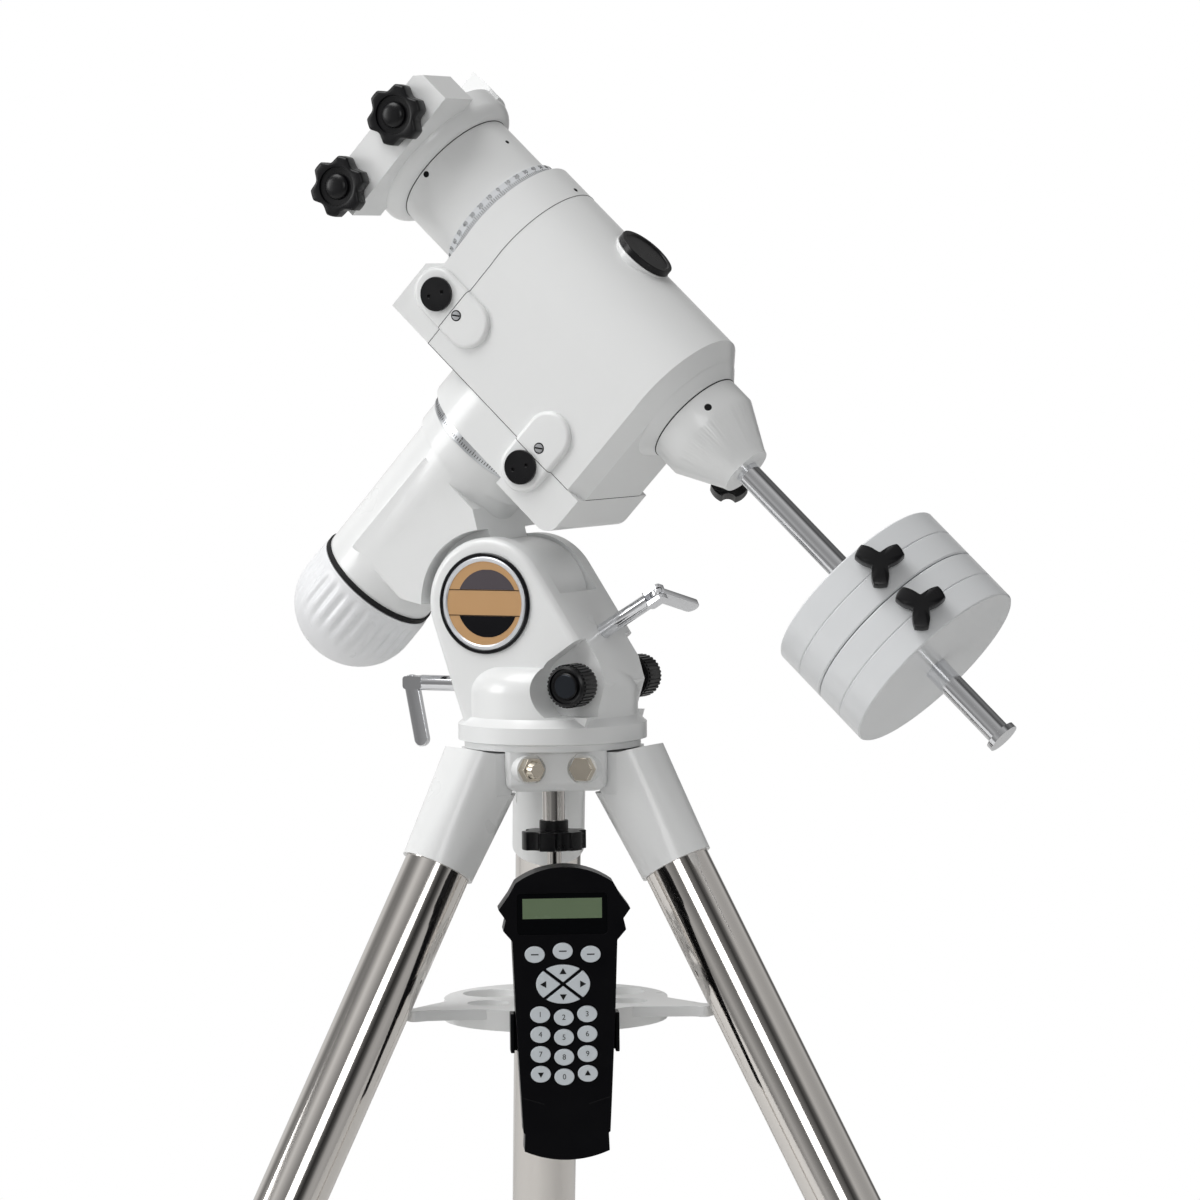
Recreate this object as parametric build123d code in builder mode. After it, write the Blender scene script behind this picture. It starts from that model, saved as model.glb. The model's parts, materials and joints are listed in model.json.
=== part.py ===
from build123d import *

import os
from math import cos, radians, sin

# Equatorial telescope mount on a two-inch steel tripod, with two counterweights and a hand controller.
# Millimetres, +Z up, origin on the floor under the tripod's centre, +X towards the pole (north).

# ---------------------------------------------------------------- driving dimensions
HUB_Z = 770.0  # top face of the tripod hub above the floor
SPLAY = 28.8  # leg angle from the vertical
LATITUDE = 46.7  # elevation of the polar axis
AXES_X, AXES_DZ = 40.5, 326.1  # where the two mount axes cross, from the hub's top centre
PIVOT = (-31.0, 110.0)  # latitude pivot (x, height over the hub), axis along Y
FIT = 0.05  # radial clearance of a turning or sliding fit
GAP = 0.3  # space between parts that move past each other

TUBE_R, LOWER_TUBE_R = 25.4, 22.2  # two-inch leg tube and the tube inside it
LEG_BOLT_R = 5.0
ROD_R = 8.5  # draw rod above its knob
TRAY_ROD_R = 5.5
SHAFT_R = 9.0  # counterweight shaft
AXLE_R, NECK_R = 22.0, 49.5  # declination axle and its neck
NOSE_R, HALF_WIDTH = 59.0, 57.0  # declination housing
TUBE_OUT, TUBE_IN = 48.0, 38.0  # polar housing tube
POLAR_AXLE_R = 30.0
CHEEK_IN, CHEEK_OUT, CHEEK_R = 30.0, 48.0, 49.5  # fork cheeks
WEIGHT_R, WEIGHT_THICK = 75.5, 43.0

os.makedirs("parts", exist_ok=True)

# ---------------------------------------------------------------- frames
RA_DIR = Vector(cos(radians(LATITUDE)), 0, sin(radians(LATITUDE)))
DEC_UP = Vector(-sin(radians(LATITUDE)), 0, cos(radians(LATITUDE)))
NEAR = Vector(0, -1, 0)
# Side view of the head: x along the polar axis (u), y up the declination axis (v), z to the near side (w).
SIDE = Plane(origin=(AXES_X, 0, HUB_Z + AXES_DZ), x_dir=RA_DIR, z_dir=NEAR)
# Side view of the base: x north, y up from the hub's top face, z to the near side.
UPRIGHT = Plane(origin=(0, 0, HUB_Z), x_dir=(1, 0, 0), z_dir=NEAR)
HUB_TOP = Plane.XY.offset(HUB_Z)
RA_AXIS = Axis(SIDE.origin, RA_DIR)
DEC_AXIS = Axis(SIDE.origin, DEC_UP)


def head(u, v, w=0.0):
    """Point of the head in the part's frame."""
    return SIDE.from_local_coords(Vector(u, v, w))


def across_dec(v, u=0.0, w=0.0):
    """Plane square to the declination axis: x along u, y to the far side, z up the axis."""
    return Plane(origin=head(u, v, w), x_dir=RA_DIR, z_dir=DEC_UP)


def across_ra(u, v=0.0, w=0.0):
    """Plane square to the polar axis: x along v, y to the near side, z north."""
    return Plane(origin=head(u, v, w), x_dir=DEC_UP, z_dir=RA_DIR)


def save(piece, name):
    """Labels a finished piece and writes its STEP file."""
    piece.part.label = name
    export_step(piece.part, f"parts/{name}.step")


def hand_wheel(plane, lobes, tip_r, thick, stud_r, stud_from, boss_r=0.0, boss=0.0):
    """Lobed knob whose back lies on a plane, with a stud that starts behind it and a boss on its front."""
    hollow_r = tip_r * sin(radians(180 / lobes)) * 0.6
    with BuildPart() as knob:
        with BuildSketch(plane):
            Circle(tip_r)
            with PolarLocations(tip_r + hollow_r * 0.45, lobes, start_angle=180 / lobes):
                Circle(hollow_r, mode=Mode.SUBTRACT)
        extrude(amount=thick)
        fillet(knob.edges().group_by(Axis(plane.origin, plane.z_dir))[-1], radius=1.2)
        if boss_r:
            with BuildSketch(plane.offset(thick - 0.01)):
                Circle(boss_r)
            extrude(amount=boss)
        with BuildSketch(plane.offset(stud_from)):
            Circle(stud_r)
        extrude(amount=-stud_from + 0.5)
    return knob


def swing_lever(plane, length, wide, thick, pin_r):
    """Flat lever from its pin at the plane's origin along the plane's x."""
    with BuildPart() as lever:
        with BuildSketch(plane.offset(-thick / 2)):
            with Locations((length / 2, 0)):
                SlotCenterToCenter(length, wide)
            Circle(pin_r + FIT, mode=Mode.SUBTRACT)
        extrude(amount=thick)
        fillet(lever.edges().filter_by(GeomType.CIRCLE).sort_by(Axis(plane.origin, plane.x_dir))[-2:], radius=1)
    return lever


# ---------------------------------------------------------------- tripod hub
HUB_DEPTH = 30.5
FACET, FACET_HALF = 60.0, 39.5  # distance and half width of the three long faces
SLOT_FROM, SLOT_HALF = 32.0, 27.0  # leg slots
LEG_PIVOT = (49.0, -13.0)
LUG_FACE = 43.5  # ends of the pivot bosses, from a leg's mid plane
LEG_ANGLES = {"a": 0, "b": 120, "c": 240}


def leg_frame(angle):
    """Side view of one leg: x outwards, y up from the hub's top face."""
    out = Vector(cos(radians(angle)), sin(radians(angle)), 0)
    return Plane(origin=(0, 0, HUB_Z), x_dir=out, z_dir=out.cross(Vector(0, 0, 1)))


def leg_across(angle, along):
    """Plane square to a leg: z down the leg, x outwards."""
    out = Vector(cos(radians(angle)), sin(radians(angle)), 0)
    down = out * sin(radians(SPLAY)) - Vector(0, 0, cos(radians(SPLAY)))
    x_dir = out * cos(radians(SPLAY)) + Vector(0, 0, sin(radians(SPLAY)))
    return Plane(origin=out * LEG_TOP_X + Vector(0, 0, HUB_Z) + down * along, x_dir=x_dir, z_dir=down)


with BuildPart() as tripod_hub:
    with BuildSketch(HUB_TOP):
        corners = []
        for facet in (-60, 60, 180):
            for side in (-1, 1):
                normal = Vector(cos(radians(facet)), sin(radians(facet)))
                tangent = Vector(-normal.Y, normal.X)
                corners.append(normal * FACET + tangent * FACET_HALF * side)
        Polygon(*corners)
    extrude(amount=-HUB_DEPTH)
    fillet(tripod_hub.edges().group_by(Axis.Z)[0].filter_by(lambda e: e.length > 70), radius=9)
    for angle in LEG_ANGLES.values():
        with BuildSketch(leg_frame(angle)):
            with Locations((SLOT_FROM + 40, -HUB_DEPTH / 2)):
                Rectangle(80, HUB_DEPTH + 2)
        extrude(amount=SLOT_HALF, both=True, mode=Mode.SUBTRACT)
    slot_rims = tripod_hub.edges().group_by(Axis.Z)[0].filter_by(lambda e: e.length < 50)
    fillet(slot_rims, radius=4)
    for angle in LEG_ANGLES.values():
        for side in (1, -1):
            with BuildSketch(leg_frame(angle).offset(side * SLOT_HALF)):
                with Locations(LEG_PIVOT):
                    Circle(10.5)
            extrude(amount=side * (LUG_FACE - SLOT_HALF))
            with BuildSketch(leg_frame(angle).offset(side * LUG_FACE)):
                with Locations(LEG_PIVOT):
                    Circle(12)
            extrude(amount=side * 20, mode=Mode.SUBTRACT)
        with BuildSketch(leg_frame(angle)):
            with Locations(LEG_PIVOT):
                Circle(LEG_BOLT_R + FIT)
        extrude(amount=60, both=True, mode=Mode.SUBTRACT)
    with BuildSketch(HUB_TOP):
        Circle(ROD_R + GAP)
    extrude(amount=-HUB_DEPTH, mode=Mode.SUBTRACT)
save(tripod_hub, "tripod_hub")

# Steel peg that the two azimuth screws push against, on a plate bolted to the hub.
PEG_X, PEG_R, PEG_TOP = 45.0, 6.0, 58.0
with BuildPart() as azimuth_peg:
    with BuildSketch(HUB_TOP):
        with Locations((32, 0)):
            RectangleRounded(40, 20, 4)
    extrude(amount=4)
    with BuildSketch(HUB_TOP):
        with Locations((PEG_X, 0)):
            Circle(PEG_R)
    extrude(amount=PEG_TOP)
save(azimuth_peg, "azimuth_peg")

BOLT_HEAD_R = 8.5  # across the flats, halved
BOLT_HEAD, BOLT_NUT = 6.5, 7.0  # thickness of the head and of the nut
with BuildPart() as leg_pivot_bolts:
    for angle in LEG_ANGLES.values():
        frame = leg_frame(angle)
        for face, thick in ((LUG_FACE, BOLT_HEAD), (-LUG_FACE, -BOLT_NUT)):
            with BuildSketch(frame.offset(face)):
                with Locations(LEG_PIVOT):
                    RegularPolygon(BOLT_HEAD_R, 6, major_radius=False)
            extrude(amount=thick)
        with BuildSketch(frame.offset(-LUG_FACE - 12)):
            with Locations(LEG_PIVOT):
                Circle(LEG_BOLT_R)
        extrude(amount=2 * LUG_FACE + 13)
        with BuildSketch(frame.offset(-LUG_FACE - BOLT_NUT)):  # the acorn nut's closed end
            with Locations(LEG_PIVOT):
                Circle(7)
        extrude(amount=-5, taper=18)
save(leg_pivot_bolts, "leg_pivot_bolts")

# ---------------------------------------------------------------- legs
LEG_TOP_X = 56.0  # where a leg's centre line meets the hub's top face
SOCKET_END, TUBE_TOP = 99.0, 40.0  # down the leg from the hub's top face
COLLAR_AT, COLLAR_LONG, COLLAR_R, LIP = 640.0, 52.0, 30.5, 6.0
LOWER_TOP, FOOT_AT = 300.0, 830.0
TONGUE_R = 11.5
UNDER_HUB = -HUB_DEPTH - 2.5  # the socket is cut away above this, so that it clears the hub as it folds
CLAMP_DOWN, CLAMP_STUD_R, BOSS_REACH = 22.0, 3.0, 9.0


def clamp_plane(angle, out):
    """Plane square to a clamp screw, which points straight at the leg from its outer side."""
    leg = leg_across(angle, COLLAR_AT + CLAMP_DOWN)
    origin = leg.from_local_coords(Vector(COLLAR_R + BOSS_REACH + out, 0, 0))
    return Plane(origin=origin, x_dir=leg.y_dir, z_dir=leg.x_dir)


def leg_socket(angle):
    """Painted casting that grips the tube and hangs on the hub's pivot bolt."""
    with BuildPart() as socket:
        with BuildSketch(leg_across(angle, -30)):
            RectangleRounded(58, 56, 15)
        with BuildSketch(leg_across(angle, SOCKET_END)):
            Circle(28)
        loft()
        with BuildSketch(leg_frame(angle)):
            Polygon([(68, UNDER_HUB), (10, UNDER_HUB), (10, 70), (130, 70), (130, 6), (94, 5), (68, -1.5)])
        extrude(amount=40, both=True, mode=Mode.SUBTRACT)
        with BuildSketch(leg_frame(angle)):
            Polygon([(49, -1.5), (70, -1.5), (80, -50), (66, -50), (49, -24.5)])
            with Locations(LEG_PIVOT):
                Circle(TONGUE_R)
        extrude(amount=SLOT_HALF - 1, both=True)
        with BuildSketch(leg_frame(angle)):
            with Locations(LEG_PIVOT):
                Circle(LEG_BOLT_R + FIT)
        extrude(amount=40, both=True, mode=Mode.SUBTRACT)
        with BuildSketch(leg_across(angle, SOCKET_END)):
            Circle(TUBE_R + FIT)
        extrude(amount=TUBE_TOP - SOCKET_END, mode=Mode.SUBTRACT)
    return socket


def leg_tube(angle):
    """Polished outer tube with the clamp collar at its lower end, two solids."""
    with BuildPart() as tube:
        with BuildSketch(leg_across(angle, TUBE_TOP)):
            Circle(TUBE_R)
            Circle(TUBE_R - 1.8, mode=Mode.SUBTRACT)
        extrude(amount=COLLAR_AT + COLLAR_LONG - LIP - TUBE_TOP)
        with BuildSketch(leg_across(angle, COLLAR_AT)):
            Circle(COLLAR_R)
            with Locations((COLLAR_R, 0)):
                RectangleRounded(2 * BOSS_REACH, 20, 3)
            Circle(TUBE_R + FIT, mode=Mode.SUBTRACT)
        extrude(amount=COLLAR_LONG - LIP)
        with BuildSketch(leg_across(angle, COLLAR_AT + COLLAR_LONG - LIP)):
            Circle(COLLAR_R)
            Circle(LOWER_TUBE_R + FIT, mode=Mode.SUBTRACT)
        extrude(amount=LIP)
        with BuildSketch(clamp_plane(angle, 0)):
            Circle(CLAMP_STUD_R + FIT)
        extrude(amount=-LOWER_TUBE_R + 4, mode=Mode.SUBTRACT)
    return tube


def leg_lower(angle):
    """Inner tube that slides out of the leg, with its foot cut level with the floor."""
    with BuildPart() as lower:
        with BuildSketch(leg_across(angle, LOWER_TOP)):
            Circle(LOWER_TUBE_R)
            Circle(LOWER_TUBE_R - 1.5, mode=Mode.SUBTRACT)
        extrude(amount=FOOT_AT - LOWER_TOP)
        with BuildSketch(leg_across(angle, FOOT_AT)):
            Circle(LOWER_TUBE_R + 1.5)
        extrude(amount=80, taper=3)
        with BuildSketch(Plane.XY):
            Rectangle(1600, 1600)
        extrude(amount=-200, mode=Mode.SUBTRACT)
    return lower


for leg, angle in LEG_ANGLES.items():
    save(leg_socket(angle), f"leg_socket_{leg}")
    save(leg_tube(angle), f"leg_tube_{leg}")
    save(leg_lower(angle), f"leg_lower_{leg}")
    save(hand_wheel(clamp_plane(angle, 0.4), 3, 15, 10, CLAMP_STUD_R, -17.2), f"leg_clamp_knob_{leg}")

# ---------------------------------------------------------------- draw rod and tray
KNOB_TOP, KNOB_LOW, TRAY_ROD_END = -57.0, -80.0, -312.0
ROD_TOP = 22.0  # threaded end in the azimuth base
with BuildPart() as draw_rod:
    with BuildSketch(HUB_TOP.offset(ROD_TOP)):
        Circle(ROD_R)
    extrude(amount=KNOB_TOP - ROD_TOP)
    with BuildSketch(HUB_TOP.offset(KNOB_TOP)):
        Circle(TRAY_ROD_R)
    extrude(amount=TRAY_ROD_END - KNOB_TOP)
save(draw_rod, "draw_rod")

with BuildPart() as draw_knob:
    with BuildSketch(HUB_TOP.offset(KNOB_TOP)):
        Circle(11)
    extrude(amount=-8)
    with BuildSketch(HUB_TOP.offset(KNOB_TOP - 8)):
        Circle(24.5)
        with PolarLocations(27, 6, start_angle=15):
            Circle(7.5, mode=Mode.SUBTRACT)
    extrude(amount=KNOB_LOW - KNOB_TOP + 9)
    with BuildSketch(HUB_TOP.offset(KNOB_LOW + 1)):
        Circle(14)
    extrude(amount=-1)
    with BuildSketch(HUB_TOP.offset(KNOB_TOP)):
        Circle(TRAY_ROD_R)
    extrude(amount=-40, mode=Mode.SUBTRACT)
save(draw_knob, "draw_knob")

TRAY_Z, TRAY_R, TRAY_THICK, TIP_R = -192.0, 85.0, 8.0, 132.2
with BuildPart() as tray:
    with BuildSketch(HUB_TOP.offset(TRAY_Z)):
        Circle(TRAY_R)
        for angle in LEG_ANGLES.values():
            out = Vector(cos(radians(angle)), sin(radians(angle)))
            side = Vector(-out.Y, out.X)
            Polygon([out * 70 + side * 34, out * (TIP_R - 12) + side * 9, out * (TIP_R - 12) - side * 9,
                     out * 70 - side * 34])
            with Locations(out * (TIP_R - 12)):
                RectangleRounded(24, 18, 4, rotation=angle)
        with PolarLocations(54, 3, start_angle=60):
            Circle(23, mode=Mode.SUBTRACT)
        with PolarLocations(60, 3):
            Circle(16, mode=Mode.SUBTRACT)
        Circle(TRAY_ROD_R + 0.5, mode=Mode.SUBTRACT)
    extrude(amount=-TRAY_THICK)
    with BuildSketch(HUB_TOP.offset(TRAY_Z - TRAY_THICK)):
        Circle(TRAY_R)
        Circle(TRAY_R - 3, mode=Mode.SUBTRACT)
        Circle(15)
        Circle(TRAY_ROD_R + 0.5, mode=Mode.SUBTRACT)
    extrude(amount=-8)
save(tray, "tray")

with BuildPart() as tray_knob:
    with BuildSketch(HUB_TOP.offset(TRAY_Z - TRAY_THICK - 8.3)):
        Circle(18)
        with PolarLocations(20, 6):
            Circle(5.5, mode=Mode.SUBTRACT)
        Circle(TRAY_ROD_R + FIT, mode=Mode.SUBTRACT)
    extrude(amount=-13)
save(tray_knob, "tray_knob")

# ---------------------------------------------------------------- azimuth base and fork
BASE_R, FLANGE_R = 65.0, 71.6
SCREW = (45.0, 50.0)  # azimuth screw axis, along Y
SCREW_R, POCKET_FLOOR = 4.0, 33.0
BOLT_R = 6.0  # latitude bolts
LUG_END = (-24.0, 46.0)  # where both latitude bolts push
FRONT_HINGE, REAR_HINGE = (90.7, 116.0), (-121.5, 45.0)
FRONT_DIR = (Vector(*FRONT_HINGE) - Vector(*LUG_END)).normalized()


def bolt_plane(along, front=True):
    """Plane square to a latitude bolt, a distance out from the lug, z outwards."""
    step = FRONT_DIR if front else Vector(-1, 0)
    start = Vector(*LUG_END) if front else Vector(LUG_END[0], REAR_HINGE[1])
    point = start + step * along
    z_dir = Vector(step.X, 0, step.Y)
    return Plane(origin=(point.X, 0, HUB_Z + point.Y), x_dir=(0, 1, 0), z_dir=z_dir)


with BuildPart() as azimuth_base:
    with BuildSketch(UPRIGHT):  # both cheeks and the block between them
        with BuildLine():
            top = CenterArc(PIVOT, CHEEK_R, 33.6, 165)
            Polyline(top @ 1, (-61.5, 45), (-50, 12), (50, 12), (62, 50), (57, 67), top @ 0)
        make_face()
    extrude(amount=CHEEK_OUT, both=True)
    with BuildSketch(UPRIGHT):  # round body with its flange
        with BuildLine():
            Polyline((0, 0), (67, 0), (67, 4.5), (FLANGE_R, 6), (FLANGE_R, 18), (BASE_R + 2, 22), (BASE_R, 24),
                     (BASE_R, 42))
            ThreePointArc((BASE_R, 42), (61.5, 54), (53, 62))
            Polyline((53, 62), (0, 66), (0, 0))
        make_face()
    revolve(axis=Axis((0, 0, 0), (0, 0, 1)))
    outer_rim = azimuth_base.edges().filter_by(GeomType.CIRCLE).filter_by(
        lambda e: abs(e.radius - CHEEK_R) < 0.01 and abs(abs(e.center().Y) - CHEEK_OUT) < 0.1)
    fillet(outer_rim, radius=6)
    with BuildSketch(UPRIGHT):  # between the cheeks, for the housing's lobe and lug
        Polygon([(-57, 30), (0, 30), (0, 68), (-57, 68)])
        Polygon([(-110, 72), (-31, 72), (-31, 180), (-110, 180)])
        Polygon([(-57, 60), (0, 60), (6, 80), (12, 111.5), (23.5, 111.5), (23.5, 180), (-57, 180)])
        with Locations(PIVOT):
            Circle(47.8)
    extrude(amount=CHEEK_IN + GAP, both=True, mode=Mode.SUBTRACT)
    for side in (1, -1):  # azimuth knob pockets
        with BuildSketch(UPRIGHT.offset(side * POCKET_FLOOR)):
            with BuildLine():
                ThreePointArc((25, 25.5), (14, 45), (21, 67))
                Polyline((21, 67), (46, 84), (90, 84), (90, 25.5), (25, 25.5))
            make_face()
        extrude(amount=side * 60, mode=Mode.SUBTRACT)
    with BuildSketch(HUB_TOP):  # room for the peg and its plate
        with Locations((33, 0)):
            RectangleRounded(47, 40, 6)
    extrude(amount=PEG_TOP + 1.5, mode=Mode.SUBTRACT)
    with BuildSketch(HUB_TOP):
        Circle(ROD_R + FIT)
    extrude(amount=ROD_TOP + 1, mode=Mode.SUBTRACT)
    with BuildSketch(UPRIGHT):
        with Locations(SCREW):
            Circle(SCREW_R + FIT)
    extrude(amount=60, both=True, mode=Mode.SUBTRACT)
    for front in (True, False):
        with BuildSketch(bolt_plane(12, front)):
            Circle(BOLT_R + FIT)
        extrude(amount=100, mode=Mode.SUBTRACT)
save(azimuth_base, "azimuth_base")

with BuildPart() as altitude_badges:
    for side in (1, -1):
        with BuildSketch(UPRIGHT.offset(side * (CHEEK_OUT + 0.02))):
            with Locations(PIVOT):
                Circle(38.3)
        extrude(amount=side * 2.4)
save(altitude_badges, "altitude_badges")

with BuildPart() as azimuth_screws:
    for side in (1, -1):
        with BuildSketch(UPRIGHT.offset(side * (PEG_R + 0.4))):
            with Locations(SCREW):
                Circle(SCREW_R)
        extrude(amount=side * 42)
save(azimuth_screws, "azimuth_screws")

KNOB_FROM, KNOB_TO = 43.0, 66.0
for side, name in ((1, "near"), (-1, "far")):
    with BuildPart() as azimuth_knob:
        with BuildSketch(UPRIGHT.offset(side * KNOB_FROM)):
            with Locations(SCREW):
                Circle(16.5)
        extrude(amount=side * (KNOB_TO - KNOB_FROM))
        with BuildSketch(UPRIGHT.offset(side * (KNOB_TO - 3))):
            with Locations(SCREW):
                Circle(13)
                Circle(9, mode=Mode.SUBTRACT)
        extrude(amount=side * 4, mode=Mode.SUBTRACT)
        with BuildSketch(UPRIGHT.offset(side * (KNOB_FROM - 1))):
            with Locations(SCREW):
                Circle(SCREW_R + FIT)
        extrude(amount=side * 8, mode=Mode.SUBTRACT)
    save(azimuth_knob, f"azimuth_knob_{name}")

# ---------------------------------------------------------------- latitude bolts and levers
LUG_R = 9.0
FRONT_GAP, REAR_GAP = 1.6, 0.8  # bolt tips off the lug, used up at the ends of the latitude range
PIN_R, FORK_IN, FORK_OUT = 2.5, 2.9, 6.0


def latitude_bolt(front, tip, reach, pin_dir):
    """Bolt with a forked outer end and the pin that its lever swings on."""
    hinge = bolt_plane(reach, front)
    fork = Plane(origin=hinge.origin, x_dir=hinge.z_dir, z_dir=pin_dir)
    with BuildPart() as bolt:
        with BuildSketch(bolt_plane(tip, front)):
            Circle(BOLT_R)
        extrude(amount=reach - 9 - tip)
        for side in (1, -1):
            with BuildSketch(fork.offset(side * FORK_IN)):
                with Locations((-3, 0)):
                    RectangleRounded(16, 10, 2.5)
            extrude(amount=side * (FORK_OUT - FORK_IN))
        with BuildSketch(fork.offset(-FORK_OUT)):
            Circle(PIN_R)
        extrude(amount=2 * FORK_OUT)
    return bolt, fork


front_reach = (Vector(*FRONT_HINGE) - Vector(*LUG_END)).length
rear_reach = LUG_END[0] - REAR_HINGE[0]
FRONT_DIR3 = Vector(FRONT_DIR.X, 0, FRONT_DIR.Y)
FRONT_PIN = (FRONT_DIR3.cross(Vector(0, 1, 0)) * 0.96 + Vector(0, 0.28, 0)).normalized()
front_bolt, front_fork = latitude_bolt(True, LUG_R + FRONT_GAP, front_reach, FRONT_PIN)
rear_bolt, rear_fork = latitude_bolt(False, LUG_R + REAR_GAP, rear_reach, Vector(0, 1, 0))
save(front_bolt, "latitude_bolt_front")
save(rear_bolt, "latitude_bolt_rear")

front_across = FRONT_PIN.cross(FRONT_DIR3)
front_swing = Plane(origin=front_fork.origin, x_dir=front_across, z_dir=FRONT_PIN)
rear_swing = Plane(origin=rear_fork.origin, x_dir=Vector(9.5, 0, -49).normalized(), z_dir=(0, 1, 0))
save(swing_lever(front_swing, 44, 12, 5, PIN_R), "latitude_lever_front")
save(swing_lever(rear_swing, 44, 12, 5, PIN_R), "latitude_lever_rear")

# ---------------------------------------------------------------- polar housing
FAR = Vector(0, 1, 0)
CLUTCH_STUD_R, CLUTCH_STUD, CLUTCH_REACH = 4.0, 7.0, 34.0
RA_CLUTCH = Plane(origin=head(-164, 0, -TUBE_OUT - 0.8), x_dir=RA_DIR * -1, z_dir=FAR)
DEC_CLUTCH = Plane(origin=head(8, 84, -NOSE_R - 0.4), x_dir=RA_DIR * -1, z_dir=FAR)
RING_U, COLLAR_U, TUBE_U, SEAL_U, CAP_U = -124.4, -133.0, -150.4, -274.5, -278.5
PIVOT_U, PIVOT_V = -206.3, -96.2  # the latitude pivot seen from the head
LOBE_R, LOBE_HALF, SCOOP_R = 47.0, 29.5, 55.5
with BuildPart() as ra_housing:
    with BuildSketch(SIDE):
        Polygon([(-257, 16), (-257, -38), (-243, -62), (-176, -62), (-162, -40), (-162, 16)])
    extrude(amount=47, both=True)
    fillet(ra_housing.edges().filter_by(lambda e: abs((e @ 0).Y - (e @ 1).Y) < 0.1
                                        and min(SIDE.to_local_coords(e @ 0).X, SIDE.to_local_coords(e @ 1).X) < -256
                                        and abs(SIDE.to_local_coords(e.center()).Y) < 14), radius=5)
    with BuildSketch(across_ra(SEAL_U)):
        Circle(TUBE_OUT - 1)
    with BuildSketch(across_ra(TUBE_U)):
        Circle(TUBE_OUT + 0.4)
    loft()
    with BuildSketch(across_ra(TUBE_U)):
        Circle(51.5)
    extrude(amount=COLLAR_U - TUBE_U)
    with BuildSketch(across_ra(COLLAR_U)):
        Circle(44)
    extrude(amount=RING_U - COLLAR_U)
    with BuildSketch(SIDE):
        with Locations((PIVOT_U, PIVOT_V)):
            Circle(SCOOP_R)
    extrude(amount=60, both=True, mode=Mode.SUBTRACT)
    with BuildSketch(SIDE):
        Polygon([(-257, 0), (-257, -38), (-243, -62), (-176, -62), (-162, -40), (-162, 0)])
        with Locations((PIVOT_U, PIVOT_V)):
            Circle(LOBE_R)
    extrude(amount=LOBE_HALF, both=True)
    with BuildSketch(UPRIGHT):
        Polygon([LUG_END, (LUG_END[0] - LUG_R, LUG_END[1]), (LUG_END[0] - LUG_R, LUG_END[1] + 14), (-47, 80),
                 (-14, 80), (-20.4, 57.5), (-16.3, 50.6)])
        with Locations(LUG_END):
            Circle(LUG_R)
    extrude(amount=14, both=True)
    with BuildSketch(across_ra(SEAL_U - 5)):
        Circle(TUBE_IN)
    extrude(amount=TUBE_U - SEAL_U + 5, mode=Mode.SUBTRACT)
    with BuildSketch(across_ra(TUBE_U - 5)):
        Circle(POLAR_AXLE_R + FIT)
    extrude(amount=60, mode=Mode.SUBTRACT)
    with BuildSketch(across_ra(SEAL_U + 10)):
        Circle(TUBE_IN + 0.01)
        Circle(POLAR_AXLE_R + FIT, mode=Mode.SUBTRACT)
    extrude(amount=14)
    with BuildSketch(RA_CLUTCH):
        Circle(CLUTCH_STUD_R + FIT)
    extrude(amount=-12, mode=Mode.SUBTRACT)
save(ra_housing, "ra_housing")

with BuildPart() as ra_setting_circle:
    with BuildSketch(across_ra(COLLAR_U + 0.3)):
        Circle(52.8)
        Circle(44.1, mode=Mode.SUBTRACT)
    extrude(amount=RING_U - COLLAR_U - 0.3)
save(ra_setting_circle, "ra_setting_circle")

with BuildPart() as polar_cap_seal:
    with BuildSketch(across_ra(CAP_U)):
        Circle(48.5)
        Circle(TUBE_IN, mode=Mode.SUBTRACT)
    extrude(amount=SEAL_U - CAP_U)
save(polar_cap_seal, "polar_cap_seal")

# Screw-on cap over the polar scope's eyepiece.
CAP_FROM, CAP_DOME, CAP_TIP, CAP_WALL = -279.0, -305.0, -352.0, 4.0
with BuildPart() as polar_cap:
    with BuildSketch(SIDE):
        with BuildLine():
            rim = Polyline((CAP_FROM, 45), (CAP_FROM, 48.5), (-295, 49.5), (CAP_DOME, 49.5))
            dome = EllipticalCenterArc((CAP_DOME, 0), CAP_DOME - CAP_TIP, 49.5, start_angle=90, arc_size=88)
            Polyline(dome @ 1, ((dome @ 1).X, 0), (CAP_TIP + CAP_WALL, 0), (CAP_TIP + CAP_WALL, 2))
            inner = EllipticalCenterArc((CAP_DOME, 0), CAP_DOME - CAP_TIP - CAP_WALL, 45.5, start_angle=90,
                                        arc_size=87)
            Line(inner @ 1, (CAP_TIP + CAP_WALL, 2))
            Line(inner @ 0, rim @ 0)
        make_face()
    revolve(axis=RA_AXIS)
save(polar_cap, "polar_cap")

REAR_U = -92.0  # rear face of the declination housing
with BuildPart() as ra_axle:
    with BuildSketch(across_ra(-268)):
        Circle(POLAR_AXLE_R)
    extrude(amount=REAR_U + 268)
    with BuildSketch(across_ra(REAR_U)):
        Circle(36)
    extrude(amount=-3.4)
    with BuildSketch(across_ra(REAR_U)):
        Circle(18)
    extrude(amount=-200, mode=Mode.SUBTRACT)
save(ra_axle, "ra_axle")


def ring(plane, inner, outer, thick, name):
    """Plain ring on a plane."""
    with BuildPart() as piece:
        with BuildSketch(plane):
            Circle(outer)
            Circle(inner, mode=Mode.SUBTRACT)
        extrude(amount=thick)
    save(piece, name)


def worm(start, half, name):
    """Worm shaft along the near-far direction, with its thicker threaded middle."""
    with BuildPart() as piece:
        with BuildSketch(start.offset(-40)):
            Circle(4)
        extrude(amount=92)
        with BuildSketch(start.offset(-half)):
            Circle(7.8)
        extrude(amount=2 * half)
    save(piece, name)


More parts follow.
